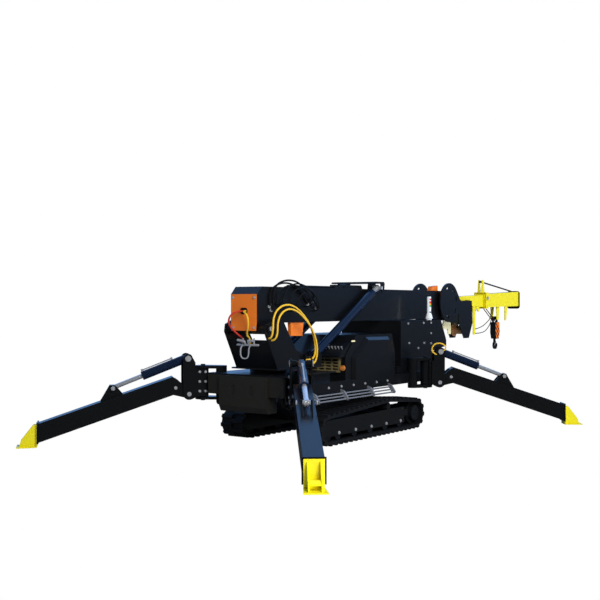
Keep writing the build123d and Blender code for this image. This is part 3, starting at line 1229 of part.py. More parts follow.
with BuildPart() as hoses_base:
    for hand in (-1, 1):
        for shift in (0, 34):
            hose([(-1450 + shift, hand * 440, BOX_LOW), (-1450 + shift, hand * 440, 455 - shift / 2),
                  (-1400 + shift, hand * (480 + shift), 430 - shift / 2),
                  (-1300 + shift, hand * 400, 450), (-1262, hand * (330 + shift), 500),
                  (-1262, hand * (330 + shift), 528)], 13, HOSE_R)
save(hoses_base.part, "hoses_base")
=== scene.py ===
from math import cos, radians, sin

import bmesh
import bpy
from mathutils import Matrix, Vector


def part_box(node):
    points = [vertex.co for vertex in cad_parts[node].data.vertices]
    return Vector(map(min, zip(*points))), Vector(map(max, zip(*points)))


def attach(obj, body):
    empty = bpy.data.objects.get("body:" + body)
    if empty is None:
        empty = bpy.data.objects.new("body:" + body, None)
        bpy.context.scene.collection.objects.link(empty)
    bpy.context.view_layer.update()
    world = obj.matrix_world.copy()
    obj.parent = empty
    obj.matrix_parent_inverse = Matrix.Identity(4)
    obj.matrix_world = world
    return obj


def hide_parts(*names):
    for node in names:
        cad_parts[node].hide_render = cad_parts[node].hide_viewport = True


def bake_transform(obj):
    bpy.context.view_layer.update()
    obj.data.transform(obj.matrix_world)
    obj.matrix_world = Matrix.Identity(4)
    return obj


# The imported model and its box
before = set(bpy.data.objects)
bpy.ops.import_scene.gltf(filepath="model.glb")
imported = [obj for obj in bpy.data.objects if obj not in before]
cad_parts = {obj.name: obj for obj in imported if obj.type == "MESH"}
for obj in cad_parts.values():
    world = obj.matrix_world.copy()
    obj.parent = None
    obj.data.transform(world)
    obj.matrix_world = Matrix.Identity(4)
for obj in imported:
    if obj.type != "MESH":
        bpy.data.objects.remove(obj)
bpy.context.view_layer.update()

# The tracks' middle in the frame; places below are in metres from it, as in the part
track_low, track_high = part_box("track_right")
TRACK_X = (track_low[0] + track_high[0]) / 2

# Materials
COAT_ROUGHNESS = 0.08
NOISE_DETAIL = 4.0


def material(name, colour, roughness=0.4, metallic=0.0, coat=0.0):
    """A plain shader with a constant colour."""
    made = bpy.data.materials.new(name)
    made.use_nodes = True
    shader = made.node_tree.nodes["Principled BSDF"]
    shader.inputs["Base Color"].default_value = (*colour, 1.0)
    shader.inputs["Roughness"].default_value = roughness
    shader.inputs["Metallic"].default_value = metallic
    shader.inputs["Coat Weight"].default_value = coat
    shader.inputs["Coat Roughness"].default_value = COAT_ROUGHNESS
    return made


def add_bump(made, scale, strength, distance):
    """Fine noise in the surface of a material."""
    tree = made.node_tree
    noise = tree.nodes.new("ShaderNodeTexNoise")
    noise.inputs["Scale"].default_value = scale
    noise.inputs["Detail"].default_value = NOISE_DETAIL
    bump = tree.nodes.new("ShaderNodeBump")
    bump.inputs["Strength"].default_value = strength
    bump.inputs["Distance"].default_value = distance
    tree.links.new(noise.outputs["Fac"], bump.inputs["Height"])
    tree.links.new(bump.outputs["Normal"], tree.nodes["Principled BSDF"].inputs["Normal"])


# name, colour, roughness, metal, clear coat
BLACK = material("black_gloss", (0.0045, 0.0050, 0.0060), 0.30, 0.0, 0.25)
BLACK_SATIN = material("black_satin", (0.006, 0.0065, 0.0075), 0.5)
GREY = material("dark_grey", (0.016, 0.015, 0.012), 0.42)
# Cylinder barrels: black paint, and its blue tint is a painted reflection of blue sky
BLACK_WITH_PAINTED_SKY_TINT = material("cylinder_black", (0.004, 0.010, 0.030), 0.22, 0.0, 0.6)
CHROME = material("chrome", (0.80, 0.84, 0.88), 0.25, 0.75)
STEEL = material("steel", (0.62, 0.63, 0.65), 0.35, 0.6)
YELLOW = material("yellow", (0.87, 0.76, 0.008), 0.38, 0.0, 0.3)
ORANGE = material("orange", (0.82, 0.19, 0.015), 0.4, 0.0, 0.3)
AMBER = material("amber", (0.95, 0.42, 0.03), 0.3, 0.0, 0.3)
CREAM = material("cream", (0.85, 0.78, 0.45), 0.35)
RUBBER = material("rubber", (0.007, 0.007, 0.0075), 0.68)
add_bump(RUBBER, scale=90.0, strength=0.25, distance=0.002)
COPPER = material("rope_brown", (0.42, 0.20, 0.08), 0.45, 0.2)
OLIVE = material("olive", (0.16, 0.13, 0.06), 0.5)
RED = material("red", (0.65, 0.02, 0.015), 0.35)
GREEN = material("green", (0.02, 0.40, 0.10), 0.35)
WHITE = material("white", (0.82, 0.86, 0.88), 0.35)
HOSE_YELLOW = material("hose_yellow", (0.80, 0.48, 0.03), 0.5)
HOSE_RED = material("hose_red", (0.50, 0.035, 0.02), 0.45)
PIPE_GREY = material("pipe_grey", (0.20, 0.21, 0.23), 0.4, 0.3)
LAMP_BROWN = material("lamp_brown", (0.50, 0.18, 0.03), 0.3, 0.0, 0.3)
ROPE_DARK = material("rope_dark", (0.055, 0.014, 0.009), 0.6)

PAINTS = {
    "chassis_frame": BLACK, "centre_frame": BLACK_SATIN, "front_box": GREY,
    "track_left": RUBBER, "track_right": RUBBER, "track_frames": BLACK,
    "track_wheels": BLACK_SATIN, "slew_ring": BLACK_SATIN, "engine_hood": BLACK,
    "hood_covers": BLACK, "engine_block": GREY, "control_console": BLACK,
    "control_levers": STEEL, "radiator_grille": OLIVE, "side_lamp": LAMP_BROWN,
    "rest_tower": BLACK, "stack_light": WHITE, "side_pipes": PIPE_GREY,
    "turret": BLACK, "boom_base": BLACK, "boom_rear_plate": ORANGE, "boom_saddle": BLACK,
    "boom_mid": BLACK, "boom_inner": BLACK, "boom_head": BLACK, "jib_beam": YELLOW,
    "jib_end_plate": BLACK, "jib_top_rod": BLACK_SATIN, "winch_frame": BLACK,
    "winch_drum": COPPER, "lift_cyl_barrel": BLACK_WITH_PAINTED_SKY_TINT, "lift_cyl_rod": CHROME,
    "jib_cyl_barrel": BLACK_WITH_PAINTED_SKY_TINT, "jib_cyl_rod": CHROME, "hook_block": BLACK,
    "hook": BLACK_SATIN, "hoses_base": RUBBER, "hoses_turret": HOSE_YELLOW,
    "hoses_rear": HOSE_RED, "hoses_boom": RUBBER,
}
LEG_PAINTS = {"bracket": BLACK, "leg": BLACK, "foot": YELLOW, "cyl_barrel": BLACK_WITH_PAINTED_SKY_TINT,
              "cyl_rod": CHROME}
LEGS = ["base_left", "base_right", "head_right", "head_left"]

# Plate work whose edges get a small bevel
BEVELLED = {"chassis_frame", "front_box", "engine_hood", "hood_covers", "rest_tower", "turret",
            "boom_base", "boom_saddle", "boom_mid", "boom_inner", "boom_head", "jib_beam",
            "boom_rear_plate", "winch_frame", "hook_block", "hook", "track_frames"}
BEVEL_WIDTH = 0.003
BEVEL_SEGMENTS = 2
BEVEL_ANGLE = radians(40)


def paint(node, made):
    """Gives a node one material, and on plate work a small bevel that catches the light."""
    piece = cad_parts[node]
    piece.data.materials.clear()
    piece.data.materials.append(made)
    if node in BEVELLED or node.endswith(("_bracket", "_leg", "_foot")):
        bevel = piece.modifiers.new("edges", "BEVEL")
        bevel.width = BEVEL_WIDTH
        bevel.segments = BEVEL_SEGMENTS
        bevel.limit_method = "ANGLE"
        bevel.angle_limit = BEVEL_ANGLE


for node, made in PAINTS.items():
    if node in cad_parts:
        paint(node, made)
for leg in LEGS:
    for piece, made in LEG_PAINTS.items():
        if f"{leg}_{piece}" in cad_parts:
            paint(f"{leg}_{piece}", made)

# Small parts: each group is one mesh that rides on one body
SHARP_ANGLE = radians(35)
BOLT_SIDES = 6
BOLT_HEIGHT = 0.008
WASHER_SIDES = 16
WASHER_SHARE = 1.35
WASHER_HEIGHT = 0.003
SUNK = 0.001
FINE_SIDES = 24


def new_piece(name, mesh_maker, made, body):
    """An object from a mesh that the maker fills, with one material, riding on a body."""
    shape = bmesh.new()
    mesh_maker(shape)
    data = bpy.data.meshes.new(name)
    shape.to_mesh(data)
    shape.free()
    data.materials.append(made)
    piece = bpy.data.objects.new(name, data)
    bpy.context.scene.collection.objects.link(piece)
    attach(piece, body)
    return piece


def frame_of(direction):
    """Rotation whose Z axis points along a direction."""
    return Vector(direction).to_track_quat("Z", "Y").to_matrix().to_4x4()


def add_rod(shape, start, end, radius, sides):
    """A round bar between two points."""
    start, end = Vector(start), Vector(end)
    place = Matrix.Translation((start + end) / 2) @ frame_of(end - start)
    bmesh.ops.create_cone(shape, cap_ends=True, segments=sides, radius1=radius, radius2=radius,
                          depth=(end - start).length, matrix=place)


def add_bolt(shape, place, direction, radius):
    """A hexagon head with a washer, standing on a surface."""
    way = Vector(direction).normalized()
    foot = Vector(place)
    add_rod(shape, foot - way * SUNK, foot + way * WASHER_HEIGHT, radius * WASHER_SHARE,
            WASHER_SIDES)
    add_rod(shape, foot + way * WASHER_HEIGHT, foot + way * (WASHER_HEIGHT + BOLT_HEIGHT), radius,
            BOLT_SIDES)


def smooth(piece):
    """Smooth shading on round parts, with sharp edges kept by angle."""
    for face in piece.data.polygons:
        face.use_smooth = True
    piece.data.set_sharp_from_angle(angle=SHARP_ANGLE)


def bolts(name, body, direction, places, radius=0.011):
    """Bolts on one surface, at places measured from the tracks' middle."""
    def fill(shape):
        for x, y, z in places:
            add_bolt(shape, (TRACK_X + x, y, z), direction, radius)
    return new_piece(name, fill, STEEL, body)


def rods(name, body, made, lines, sides=16):
    """Round bars on one body, each as start, end and radius."""
    def fill(shape):
        for start, end, radius in lines:
            add_rod(shape, (TRACK_X + start[0], *start[1:]), (TRACK_X + end[0], *end[1:]),
                    radius, sides)
    piece = new_piece(name, fill, made, body)
    smooth(piece)
    return piece


def plate(name, body, made, outline, low_y, high_y):
    """A side-view outline drawn out between two distances to the left."""
    def fill(shape):
        low = [shape.verts.new((TRACK_X + x, low_y, z)) for x, z in outline]
        high = [shape.verts.new((TRACK_X + x, high_y, z)) for x, z in outline]
        shape.faces.new(low)
        shape.faces.new(high)
        for i in range(len(outline)):
            k = (i + 1) % len(outline)
            shape.faces.new((low[i], low[k], high[k], high[i]))
        bmesh.ops.recalc_face_normals(shape, faces=shape.faces)
    return new_piece(name, fill, made, body)


def clip(outline, slope, limit, keep_above):
    """The part of a side outline on one side of the slanted line z - slope * x = limit."""
    kept = []
    sign = 1 if keep_above else -1
    for i, (x, z) in enumerate(outline):
        x2, z2 = outline[(i + 1) % len(outline)]
        side_here = sign * (z - slope * x - limit)
        side_next = sign * (z2 - slope * x2 - limit)
        if side_here >= 0:
            kept.append((x, z))
        if side_here * side_next < 0:
            share = side_here / (side_here - side_next)
            kept.append((x + (x2 - x) * share, z + (z2 - z) * share))
    return kept


# Bolts on the chassis, the tower, the track frames and the boom's rear
SIDE_FACE = 0.5
TOWER_FACE = 0.44
PANEL_FACE = 0.668
# first x, step, count, height
DECK_ROW = (-0.683, 0.246, 6, 0.592)
ROLLER_ROW = (-0.727, 0.3245, 5, 0.125)
ROLLER_BOLT_R = 0.013
TOWER_BOLTS = [(1.146, 1.265), (1.543, 1.265), (1.74, 1.265), (1.74, 1.129), (1.171, 1.019),
               (1.556, 1.007), (1.74, 0.998), (1.40, 0.948), (1.412, 0.80)]
REAR_BOLTS = [(0.145, 1.575), (-0.145, 1.575), (0.14, 1.26), (-0.14, 1.26)]


def bolt_row(row, y):
    """Places of a level row of bolts at one distance to the left."""
    first, step, count, height = row
    return [(first + step * i, y, height) for i in range(count)]


for hand in (-1, 1):
    tag = "right" if hand < 0 else "left"
    bolts(f"deck_bolts_{tag}", "base", (0, hand, 0), bolt_row(DECK_ROW, hand * SIDE_FACE))
    bolts(f"tower_bolts_{tag}", "base", (0, hand, 0),
          [(x, hand * TOWER_FACE, z) for x, z in TOWER_BOLTS])
    bolts(f"roller_bolts_{tag}", "base", (0, hand, 0), bolt_row(ROLLER_ROW, hand * PANEL_FACE),
          ROLLER_BOLT_R)
REAR_FACE_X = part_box("boom_rear_plate")[0][0] - TRACK_X
bolts("rear_plate_bolts", "boom", (-1, 0, 0), [(REAR_FACE_X, y, z) for y, z in REAR_BOLTS])

# Hoses and cables: each row of points is the control line of a smooth tube
TUBE_ROUNDNESS = 4
TUBE_STEPS = 12
TUBE_ORDER = 3
HOSE_R = 0.010
THIN_HOSE_R = 0.008
HEAD_HOSE_R = 0.009
CABLE_R = 0.006
ROPE_R = 0.007


def tube(name, routes, radius, made):
    """Smooth tubes along routes, the first with the first material, and so on."""
    data = bpy.data.curves.new(name, "CURVE")
    data.dimensions = "3D"
    data.bevel_depth = radius
    data.bevel_resolution = TUBE_ROUNDNESS
    data.use_fill_caps = True
    data.resolution_u = TUBE_STEPS
    for material_slot in made:
        data.materials.append(material_slot)
    for number, route in enumerate(routes):
        line = data.splines.new("NURBS")
        line.points.add(len(route) - 1)
        for point, (x, y, z) in zip(line.points, route):
            point.co = (TRACK_X + x, y, z, 1.0)
        line.order_u = TUBE_ORDER
        line.use_endpoint_u = True
        line.material_index = min(number, len(made) - 1)
    piece = bpy.data.objects.new(name, data)
    bpy.context.scene.collection.objects.link(piece)
    return piece


def as_mesh(piece):
    """A mesh in place of a tube, for one that runs between two bodies."""
    data = bpy.data.meshes.new_from_object(piece.evaluated_get(
        bpy.context.evaluated_depsgraph_get()))
    made = bpy.data.objects.new(piece.name + "_skin", data)
    bpy.context.scene.collection.objects.link(made)
    bpy.data.objects.remove(piece)
    return made


# Loops on the boom's right side
BOOM_SIDE = 0.181
LOOP_RISE = 0.08
LOOP_RUN = 0.26
LOOP_SAG = 0.03
FITTING_R = 0.017
FITTING_LENGTH = 0.012
# rise x, rise z, top x, top z, end x, end z, distance to the right
BOOM_LOOPS = [(-1.330, 1.480, -1.120, 1.745, -0.640, 1.500, 0.196),
              (-1.300, 1.440, -1.080, 1.775, -0.560, 1.530, 0.219),
              (-1.270, 1.500, -1.040, 1.720, -0.480, 1.460, 0.242)]
loops = tube("boom_hose_loops",
             [[(x0, -BOOM_SIDE, z0), (x0, -away, z0), (x0, -away, zt - LOOP_RISE),
               (xt, -away, zt), (xt + LOOP_RUN, -away, zt - LOOP_SAG), (x1, -away, z1),
               (x1, -BOOM_SIDE, z1)]
              for x0, z0, xt, zt, x1, z1, away in BOOM_LOOPS], HOSE_R, [RUBBER])
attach(loops, "boom")
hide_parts("hoses_boom")
rods("boom_loop_fittings", "boom", STEEL,
     [((x, -BOOM_SIDE, z), (x, -BOOM_SIDE - FITTING_LENGTH, z), FITTING_R)
      for x0, z0, xt, zt, x1, z1, away in BOOM_LOOPS for x, z in ((x0, z0), (x1, z1))])

# Thinner hoses outside them, as side-view points of each
THIN_FIRST_Y = -0.268
THIN_STEP_Y = 0.024
THIN_LOOPS = [[(-1.209, 1.500), (-1.180, 1.600), (-1.103, 1.690), (-0.948, 1.740),
               (-0.720, 1.690), (-0.600, 1.560)],
              [(-1.128, 1.480), (-1.090, 1.600), (-0.997, 1.672), (-0.800, 1.690),
               (-0.620, 1.600), (-0.545, 1.430)],
              [(-1.020, 1.430), (-0.990, 1.560), (-0.888, 1.640), (-0.780, 1.600),
               (-0.701, 1.480)]]
thin_loops = tube("boom_thin_loops",
                  [[(line[0][0], -BOOM_SIDE, line[0][1])]
                   + [(x, THIN_FIRST_Y - THIN_STEP_Y * number, z) for x, z in line]
                   + [(line[-1][0], -BOOM_SIDE, line[-1][1])]
                   for number, line in enumerate(THIN_LOOPS)], THIN_HOSE_R, [RUBBER])
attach(thin_loops, "boom")

# Arcs on the turret's right side
TURRET_FACE = 0.284
TURRET_BODY = 0.320
# distance to the right, drop below the first arc
TURRET_ARCS = [(0.336, 0.0), (0.360, 0.045)]
arcs = tube("turret_hose_arcs",
            [[(-1.455 + drop, -TURRET_FACE, 1.150 - drop / 2),
              (-1.455 + drop, -away, 1.150 - drop / 2), (-1.450 + drop, -away, 1.440 - drop),
              (-1.150, -away, 1.530 - drop), (-0.820, -away, 1.330 - drop),
              (-0.690, -away, 1.060), (-0.720, -away, 0.910 - drop),
              (-0.847, -away, 0.900 - drop), (-0.847, -TURRET_BODY, 0.900 - drop)]
             for away, drop in TURRET_ARCS], HOSE_R, [HOSE_YELLOW])
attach(arcs, "turret")
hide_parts("hoses_turret")

# Hoses from the boom's rear plate down to the turret
REAR_HOSES = [[(-1.518, 0.014, 1.434), (-1.600, 0.014, 1.434), (-1.660, 0.080, 1.390),
               (-1.650, 0.110, 1.290), (-1.540, 0.060, 1.180), (-1.470, 0.060, 1.150),
               (-1.470, 0.060, 1.090)],
              [(-1.518, -0.022, 1.434), (-1.575, -0.022, 1.434), (-1.600, -0.110, 1.400),
               (-1.590, -0.120, 1.290), (-1.530, -0.040, 1.180), (-1.470, -0.040, 1.150),
               (-1.470, -0.040, 1.090)]]
rear_hoses = as_mesh(tube("rear_hoses", REAR_HOSES, HOSE_R, [HOSE_RED, HOSE_YELLOW]))
smooth(rear_hoses)
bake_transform(rear_hoses)
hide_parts("hoses_rear")

# Loops at both ends of the box, the second of each pair moved on by a shift
BASE_SHIFTS = (0.0, 0.034)
base_loops = tube("base_hose_loops",
                  [[(-1.450 + shift, hand * 0.440, 0.544),
                    (-1.450 + shift, hand * 0.440, 0.455 - shift / 2),
                    (-1.400 + shift, hand * (0.480 + shift), 0.430 - shift / 2),
                    (-1.300 + shift, hand * 0.400, 0.450),
                    (-1.262, hand * (0.330 + shift), 0.500),
                    (-1.262, hand * (0.330 + shift), 0.528)]
                   for hand in (-1, 1) for shift in BASE_SHIFTS], HOSE_R, [RUBBER])
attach(base_loops, "base")
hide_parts("hoses_base")

# Fittings along the boom's top and below its rear
BOOM_TOP = 1.690
CLAMP_TOP = 1.735
CLAMP_Y = (-0.14, -0.06)
ROLLER_PLACE = (0.205, 1.70)
ROLLER_R = 0.045
BAR_Y = -0.10
BAR_Z = 1.706
BAR_R = 0.012
BAR_ENDS = (-0.90, -0.03)
POST_PLACES = (-0.88, -0.47)
POST_R = 0.008
SADDLE_PIN = (0.70, 1.705, 0.021)
SADDLE_PIN_Y = (0.334, 0.200)
PIVOT = (-1.44, 1.248)
PIVOT_CAP_Y = (TURRET_FACE, 0.306)
PIVOT_CAP_R = 0.026
plate("boom_top_clamp_rear", "boom", BLACK,
      [(-0.04, BOOM_TOP), (-0.02, CLAMP_TOP), (0.11, CLAMP_TOP), (0.15, BOOM_TOP)], *CLAMP_Y)
rods("boom_top_roller", "boom", BLACK_SATIN,
     [(*[(ROLLER_PLACE[0], y, ROLLER_PLACE[1]) for y in CLAMP_Y], ROLLER_R)], FINE_SIDES)
plate("boom_top_clamp_front", "boom", BLACK,
      [(0.28, BOOM_TOP), (0.31, CLAMP_TOP), (0.53, CLAMP_TOP), (0.56, BOOM_TOP)], *CLAMP_Y)
rods("boom_top_bar", "boom", BLACK_SATIN,
     [(*[(x, BAR_Y, BAR_Z) for x in BAR_ENDS], BAR_R)]
     + [((x, BAR_Y, BOOM_TOP), (x, BAR_Y, BAR_Z), POST_R) for x in POST_PLACES])
plate("boom_front_guide", "boom", ORANGE,
      [(2.25, BOOM_TOP), (2.29, 1.750), (2.44, 1.765), (2.44, BOOM_TOP)], -0.165, -0.10)
plate("boom_rear_lug", "boom", ORANGE,
      [(-0.93, 1.309), (-0.92, 1.160), (-0.71, 1.155), (-0.69, 1.309)], -0.165, -0.125)
rods("saddle_pins", "boom", STEEL,
     [(*[(SADDLE_PIN[0], -hand * y, SADDLE_PIN[1]) for y in SADDLE_PIN_Y], SADDLE_PIN[2])
      for hand in (-1, 1)])
rods("boom_pivot_caps", "turret", STEEL,
     [(*[(PIVOT[0], hand * y, PIVOT[1]) for y in PIVOT_CAP_Y], PIVOT_CAP_R)
      for hand in (-1, 1)], FINE_SIDES)

# Clamp and handle at the turret's rear, each bar as start, end and radius
rods("turret_clamp_bar", "turret", STEEL,
     [((-1.512, -0.19, 1.078), (-1.512, 0.10, 1.078), 0.012),
      ((-1.512, -0.13, 1.078), (-1.512, -0.13, 1.150), 0.008),
      ((-1.512, 0.02, 1.078), (-1.512, 0.02, 1.150), 0.008)])
rods("turret_rear_fittings", "turret", STEEL,
     [((-1.535, 0.075, 1.128), (-1.535, -0.020, 1.114), 0.014),
      ((-1.535, -0.065, 1.120), (-1.535, -0.140, 1.124), 0.014),
      ((-1.535, -0.020, 1.114), (-1.512, -0.020, 1.078), 0.010),
      ((-1.535, -0.065, 1.120), (-1.512, -0.065, 1.078), 0.010)])
HANDLE_R = 0.008
HANDLE = [(-1.505, -0.075, 1.066), (-1.535, -0.075, 1.060), (-1.535, -0.075, 0.935),
          (-1.535, 0.035, 0.935), (-1.535, 0.035, 1.060), (-1.505, 0.035, 1.066)]
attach(tube("turret_handle", [HANDLE], HANDLE_R, [STEEL]), "turret")

# Stack light: base cone and coloured lenses from the top down
STACK = (1.770, -0.395)
STACK_RADIUS = 0.028
STACK_SIDES = 32
CONE_LOW_R = 0.050
CONE_HIGH_R = 0.0285
CONE_HEIGHT = 0.076
CONE_MIDDLE_Z = 1.357
# name, material, low height, high height
LENSES = [("dome", WHITE, 1.582, 1.606), ("red_top", RED, 1.560, 1.582),
          ("white", WHITE, 1.547, 1.560), ("red", RED, 1.518, 1.547),
          ("amber", AMBER, 1.496, 1.518), ("green", GREEN, 1.473, 1.496),
          ("clear", WHITE, 1.410, 1.473), ("neck", BLACK_SATIN, 1.396, 1.410)]
for part_name, made, low, high in LENSES:
    rods(f"stack_{part_name}", "base", made,
         [((*STACK, low), (*STACK, high), STACK_RADIUS)], STACK_SIDES)


def stack_cone(shape):
    """The white base cone of the stack light."""
    place = Matrix.Translation((TRACK_X + STACK[0], STACK[1], CONE_MIDDLE_Z))
    bmesh.ops.create_cone(shape, cap_ends=True, segments=STACK_SIDES, radius1=CONE_LOW_R,
                          radius2=CONE_HIGH_R, depth=CONE_HEIGHT, matrix=place)


smooth(new_piece("stack_cone", stack_cone, WHITE, "base"))

# Small pale marker on the hood's right side
plate("hood_marker", "base", CREAM,
      [(-0.235, 1.080), (-0.165, 1.080), (-0.165, 1.096), (-0.235, 1.096)], -0.506, -0.499)

# Hook block: orange sides with black warning stripes
HOOK_AT = 4.650
BLOCK_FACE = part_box("hook_block")[1][1]
PAINT_SKIN = 0.001
STRIPE_SLOPE = -1.0
# lower and upper limit of each stripe, as heights where it crosses the hook's upright
STRIPES = [(0.985, 1.015), (1.060, 1.090), (1.135, 1.165)]
BLOCK_HALF = [(0.068, 1.222), (0.075, 1.061), (0.039, 0.966)]
BLOCK_SIDE = ([(HOOK_AT + x, z) for x, z in BLOCK_HALF]
              + [(HOOK_AT - x, z) for x, z in reversed(BLOCK_HALF)])
for hand in (-1, 1):
    tag = "right" if hand < 0 else "left"
    faces = [hand * (BLOCK_FACE + step * PAINT_SKIN) for step in (-1, 1, 2)]
    plate(f"block_side_{tag}", "hook", ORANGE, BLOCK_SIDE, *sorted(faces[:2]))
    for number, (low, high) in enumerate(STRIPES):
        band = clip(BLOCK_SIDE, STRIPE_SLOPE, low - STRIPE_SLOPE * HOOK_AT, True)
        band = clip(band, STRIPE_SLOPE, high - STRIPE_SLOPE * HOOK_AT, False)
        plate(f"block_stripe_{number}_{tag}", "hook", BLACK_SATIN, band, *sorted(faces[1:]))

# Rope falls from the jib to the block
ROPE_TOPS = (4.187, 4.271)
ROPE_FEET = (4.600, 4.690)
ROPE_TOP_Z = 1.470
ROPE_BEND_Z = 1.345
ROPE_FOOT_Z = 1.222
falls = as_mesh(tube("rope_falls",
                     [[(top, 0.0, ROPE_TOP_Z), ((top + foot) / 2, 0.0, ROPE_BEND_Z),
                       (foot, 0.0, ROPE_FOOT_Z)]
                      for top, foot in zip(ROPE_TOPS, ROPE_FEET)], ROPE_R, [ROPE_DARK]))
smooth(falls)
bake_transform(falls)

# Cables and side pins of the jib, and the pale bracket below the boom's head
CABLES = [[(3.800, -0.052, 1.130), (4.018, -0.060, 1.150), (4.243, -0.060, 1.232),
           (4.370, -0.060, 1.300), (4.440, -0.060, 1.475)],
          [(3.800, -0.052, 1.070), (4.074, -0.060, 1.060), (4.290, -0.060, 1.150),
           (4.400, -0.060, 1.270), (4.480, -0.060, 1.478)]]
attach(tube("jib_cables", CABLES, CABLE_R, [RUBBER]), "jib")
COLLAR_PIN = (4.160, 1.600, 0.030)
COLLAR_PIN_Y = (0.100, 0.112)
rods("jib_collar_pins", "jib", STEEL,
     [(*[(COLLAR_PIN[0], hand * y, COLLAR_PIN[1]) for y in COLLAR_PIN_Y], COLLAR_PIN[2])
      for hand in (-1, 1)], FINE_SIDES)
plate("head_bracket", "boom_inner", CREAM,
      [(2.74, 1.280), (2.70, 1.160), (2.875, 1.151), (2.875, 1.085), (2.96, 1.080),
       (2.96, 1.240), (2.84, 1.280)], -0.098, -0.086)

# Outriggers: pins, bolts and the pipe along each cylinder
# swing axis ahead of and to the left of the tracks' middle, heading in degrees
LEG_ROWS = {"base_left": (-1.426, 0.665, 140), "base_right": (-1.426, -0.665, -140),
            "head_right": (1.327, -0.586, -53), "head_left": (1.327, 0.586, 53)}
CHEEK_FACE = 0.112
LEG_FACE = 0.090
# distance out from the swing axis, height
LEG_PIN = (0.166, 0.530)
CYLINDER_PIN = Vector((0.178, 0.915))
EYE_PIN = Vector((0.976, 0.607))
EAR_PIN = (0.310, 0.600)
LEG_PIN_R = 0.024
CYLINDER_PIN_R = 0.032
EYE_PIN_R = 0.022
EAR_PIN_R = 0.018
PIN_PROUD = 0.010
PIPE_SPAN = (0.16, 0.50)
PIPE_OFFSET = 0.060
PIPE_R = 0.007
CLIP_R = 0.012
CLIP_PROUD = 0.012
BARREL_FACE = 0.047
BRACKET_BOLTS = [(along, height) for along in (-0.012, 0.052) for height in (0.560, 0.665, 0.770)]


def on_leg(leg, along, across, height):
    """A place beside a leg: distance out from its swing axis, to its left, and height."""
    axis_x, axis_y, heading = LEG_ROWS[leg]
    turn = radians(heading)
    return (axis_x + along * cos(turn) - across * sin(turn),
            axis_y + along * sin(turn) + across * cos(turn), height)


def on_barrel(leg, along, offset):
    """A place over a leg's cylinder: distance from its pin, and distance off its axis."""
    way = (EYE_PIN - CYLINDER_PIN).normalized()
    spot = CYLINDER_PIN + way * along + Vector((-way.y, way.x)) * offset
    return on_leg(leg, spot.x, 0.0, spot.y)


def pin_heads(leg, place, face, radius):
    """Round heads of one cross pin on both faces of a leg or its bracket."""
    return [(on_leg(leg, place[0], hand * (face - SUNK), place[1]),
             on_leg(leg, place[0], hand * (face + PIN_PROUD), place[1]), radius)
            for hand in (-1, 1)]


for leg in LEGS:
    rods(f"{leg}_bracket_pins", f"{leg}_bracket", STEEL,
         pin_heads(leg, CYLINDER_PIN, CHEEK_FACE, CYLINDER_PIN_R)
         + pin_heads(leg, LEG_PIN, CHEEK_FACE, LEG_PIN_R), FINE_SIDES)
    rods(f"{leg}_eye_pins", f"{leg}_leg", STEEL,
         pin_heads(leg, EYE_PIN, LEG_FACE, EYE_PIN_R)
         + pin_heads(leg, EAR_PIN, LEG_FACE, EAR_PIN_R), FINE_SIDES)
    near, far = PIPE_SPAN
    rods(f"{leg}_barrel_pipe", f"{leg}_barrel", STEEL,
         [(on_barrel(leg, near, PIPE_OFFSET), on_barrel(leg, far, PIPE_OFFSET), PIPE_R)]
         + [(on_barrel(leg, end, BARREL_FACE), on_barrel(leg, end, PIPE_OFFSET + CLIP_PROUD),
             CLIP_R) for end in PIPE_SPAN])
    if leg.startswith("base"):
        heading = radians(LEG_ROWS[leg][2])
        for hand in (-1, 1):
            bolts(f"{leg}_bolts_{hand}", f"{leg}_bracket",
                  (-hand * sin(heading), hand * cos(heading), 0),
                  [on_leg(leg, along, hand * CHEEK_FACE, height)
                   for along, height in BRACKET_BOLTS])

# Hose arching over the right head bracket, from its cheek to the cylinder's pin
# distance out from the swing axis, distance to its left, height
HEAD_HOSE = [(0.120, -CHEEK_FACE, 0.880), (0.105, -0.130, 0.885), (0.052, -0.140, 0.930),
             (0.080, -0.140, 1.005), (0.160, -0.140, 1.030), (0.240, -0.140, 0.985),
             (0.225, -0.130, 0.935), (0.205, -CHEEK_FACE, 0.925)]
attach(tube("head_right_hose", [[on_leg("head_right", *spot) for spot in HEAD_HOSE]],
             HEAD_HOSE_R, [HOSE_YELLOW]), "head_right_bracket")

# Camera at the photograph's place: height of the eye and a near level look
CAMERA_X = -9.006
CAMERA_Y = -6.284
CAMERA_Z = 1.5
CAMERA_SENSOR = 36.0
CAMERA_LENS = 55.71
LOOK = Vector((0.8032, 0.5957, 0.0051))
camera_data = bpy.data.cameras.new("camera")
camera_data.sensor_width = CAMERA_SENSOR
camera_data.lens = CAMERA_LENS
camera = bpy.data.objects.new("camera", camera_data)
camera.location = (CAMERA_X + TRACK_X, CAMERA_Y, CAMERA_Z)
camera.rotation_euler = LOOK.to_track_quat("-Z", "Y").to_euler()
bpy.context.scene.collection.objects.link(camera)
bpy.context.scene.camera = camera

# Sky: dark in front of the crane, blue behind and above it, white for the camera
bpy.context.scene.view_settings.view_transform = "Standard"
BEHIND_FROM = -0.2
BEHIND_TO = 0.7
HORIZON_BAND = 0.12
DARK_TONE = (0.050, 0.053, 0.055, 1.0)
SKY_TONE = (0.22, 0.48, 1.0, 1.0)


def white_for_camera(tree, shader_output):
    """Mixes a shader with plain white for what the camera sees directly."""
    path = tree.nodes.new("ShaderNodeLightPath")
    glow = tree.nodes.new("ShaderNodeEmission")
    mix = tree.nodes.new("ShaderNodeMixShader")
    tree.links.new(path.outputs["Is Camera Ray"], mix.inputs["Fac"])
    tree.links.new(shader_output, mix.inputs[1])
    tree.links.new(glow.outputs["Emission"], mix.inputs[2])
    return mix.outputs["Shader"]


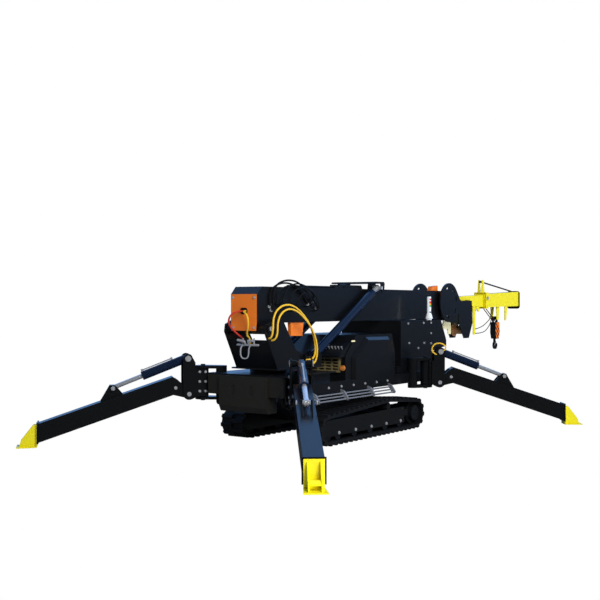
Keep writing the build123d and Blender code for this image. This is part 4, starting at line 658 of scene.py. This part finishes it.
world = bpy.data.worlds.new("studio")
world.use_nodes = True
bpy.context.scene.world = world
tree = world.node_tree
sky = tree.nodes["Background"]
place = tree.nodes.new("ShaderNodeTexCoord")
split = tree.nodes.new("ShaderNodeSeparateXYZ")
tree.links.new(place.outputs["Generated"], split.inputs["Vector"])
away = tree.nodes.new("ShaderNodeVectorMath")
away.operation = "DOT_PRODUCT"
away.inputs[1].default_value = (LOOK.x, LOOK.y, 0.0)
tree.links.new(place.outputs["Generated"], away.inputs[0])
behind = tree.nodes.new("ShaderNodeMapRange")
behind.inputs["From Min"].default_value = BEHIND_FROM
behind.inputs["From Max"].default_value = BEHIND_TO
tree.links.new(away.outputs["Value"], behind.inputs["Value"])
above = tree.nodes.new("ShaderNodeMapRange")
above.inputs["From Max"].default_value = HORIZON_BAND
tree.links.new(split.outputs["Z"], above.inputs["Value"])
share = tree.nodes.new("ShaderNodeMath")
share.operation = "MULTIPLY"
tree.links.new(behind.outputs["Result"], share.inputs[0])
tree.links.new(above.outputs["Result"], share.inputs[1])
tone = tree.nodes.new("ShaderNodeMix")
tone.data_type = "RGBA"
tone.inputs["A"].default_value = DARK_TONE
tone.inputs["B"].default_value = SKY_TONE
tree.links.new(share.outputs["Value"], tone.inputs["Factor"])
tree.links.new(tone.outputs["Result"], sky.inputs["Color"])
tree.links.new(white_for_camera(tree, sky.outputs["Background"]),
               tree.nodes["World Output"].inputs["Surface"])

# Floor that the camera sees as plain white
FLOOR_HALF = 60.0
FLOOR_Z = -0.002
FLOOR_GREY = (0.80, 0.80, 0.80)
FLOOR_ROUGHNESS = 0.95
floor_mesh = bpy.data.meshes.new("floor")
floor_mesh.from_pydata([(-FLOOR_HALF, -FLOOR_HALF, FLOOR_Z), (FLOOR_HALF, -FLOOR_HALF, FLOOR_Z),
                        (FLOOR_HALF, FLOOR_HALF, FLOOR_Z), (-FLOOR_HALF, FLOOR_HALF, FLOOR_Z)],
                       [], [(0, 1, 2, 3)])
floor = bpy.data.objects.new("floor", floor_mesh)
bpy.context.scene.collection.objects.link(floor)
floor_paint = material("floor_white", FLOOR_GREY, FLOOR_ROUGHNESS)
floor_mesh.materials.append(floor_paint)
floor_tree = floor_paint.node_tree
floor_shader = floor_tree.nodes["Principled BSDF"].outputs["BSDF"]
floor_tree.links.new(white_for_camera(floor_tree, floor_shader),
                     floor_tree.nodes["Material Output"].inputs["Surface"])
floor.visible_glossy = False


def area_lamp(name, place, target, size, watts):
    """A square soft lamp that looks at a point."""
    data = bpy.data.lights.new(name, "AREA")
    data.size = size
    data.energy = watts
    lamp = bpy.data.objects.new(name, data)
    lamp.location = place
    lamp.rotation_euler = (Vector(target) - Vector(place)).to_track_quat("-Z", "Y").to_euler()
    lamp.visible_glossy = False
    bpy.context.scene.collection.objects.link(lamp)


area_lamp("key", (-7.0, -8.0, 6.0), target=(0.0, 0.0, 0.6), size=4.0, watts=1150.0)
area_lamp("fill", (7.0, -7.0, 4.0), target=(0.0, 0.0, 0.8), size=5.0, watts=480.0)
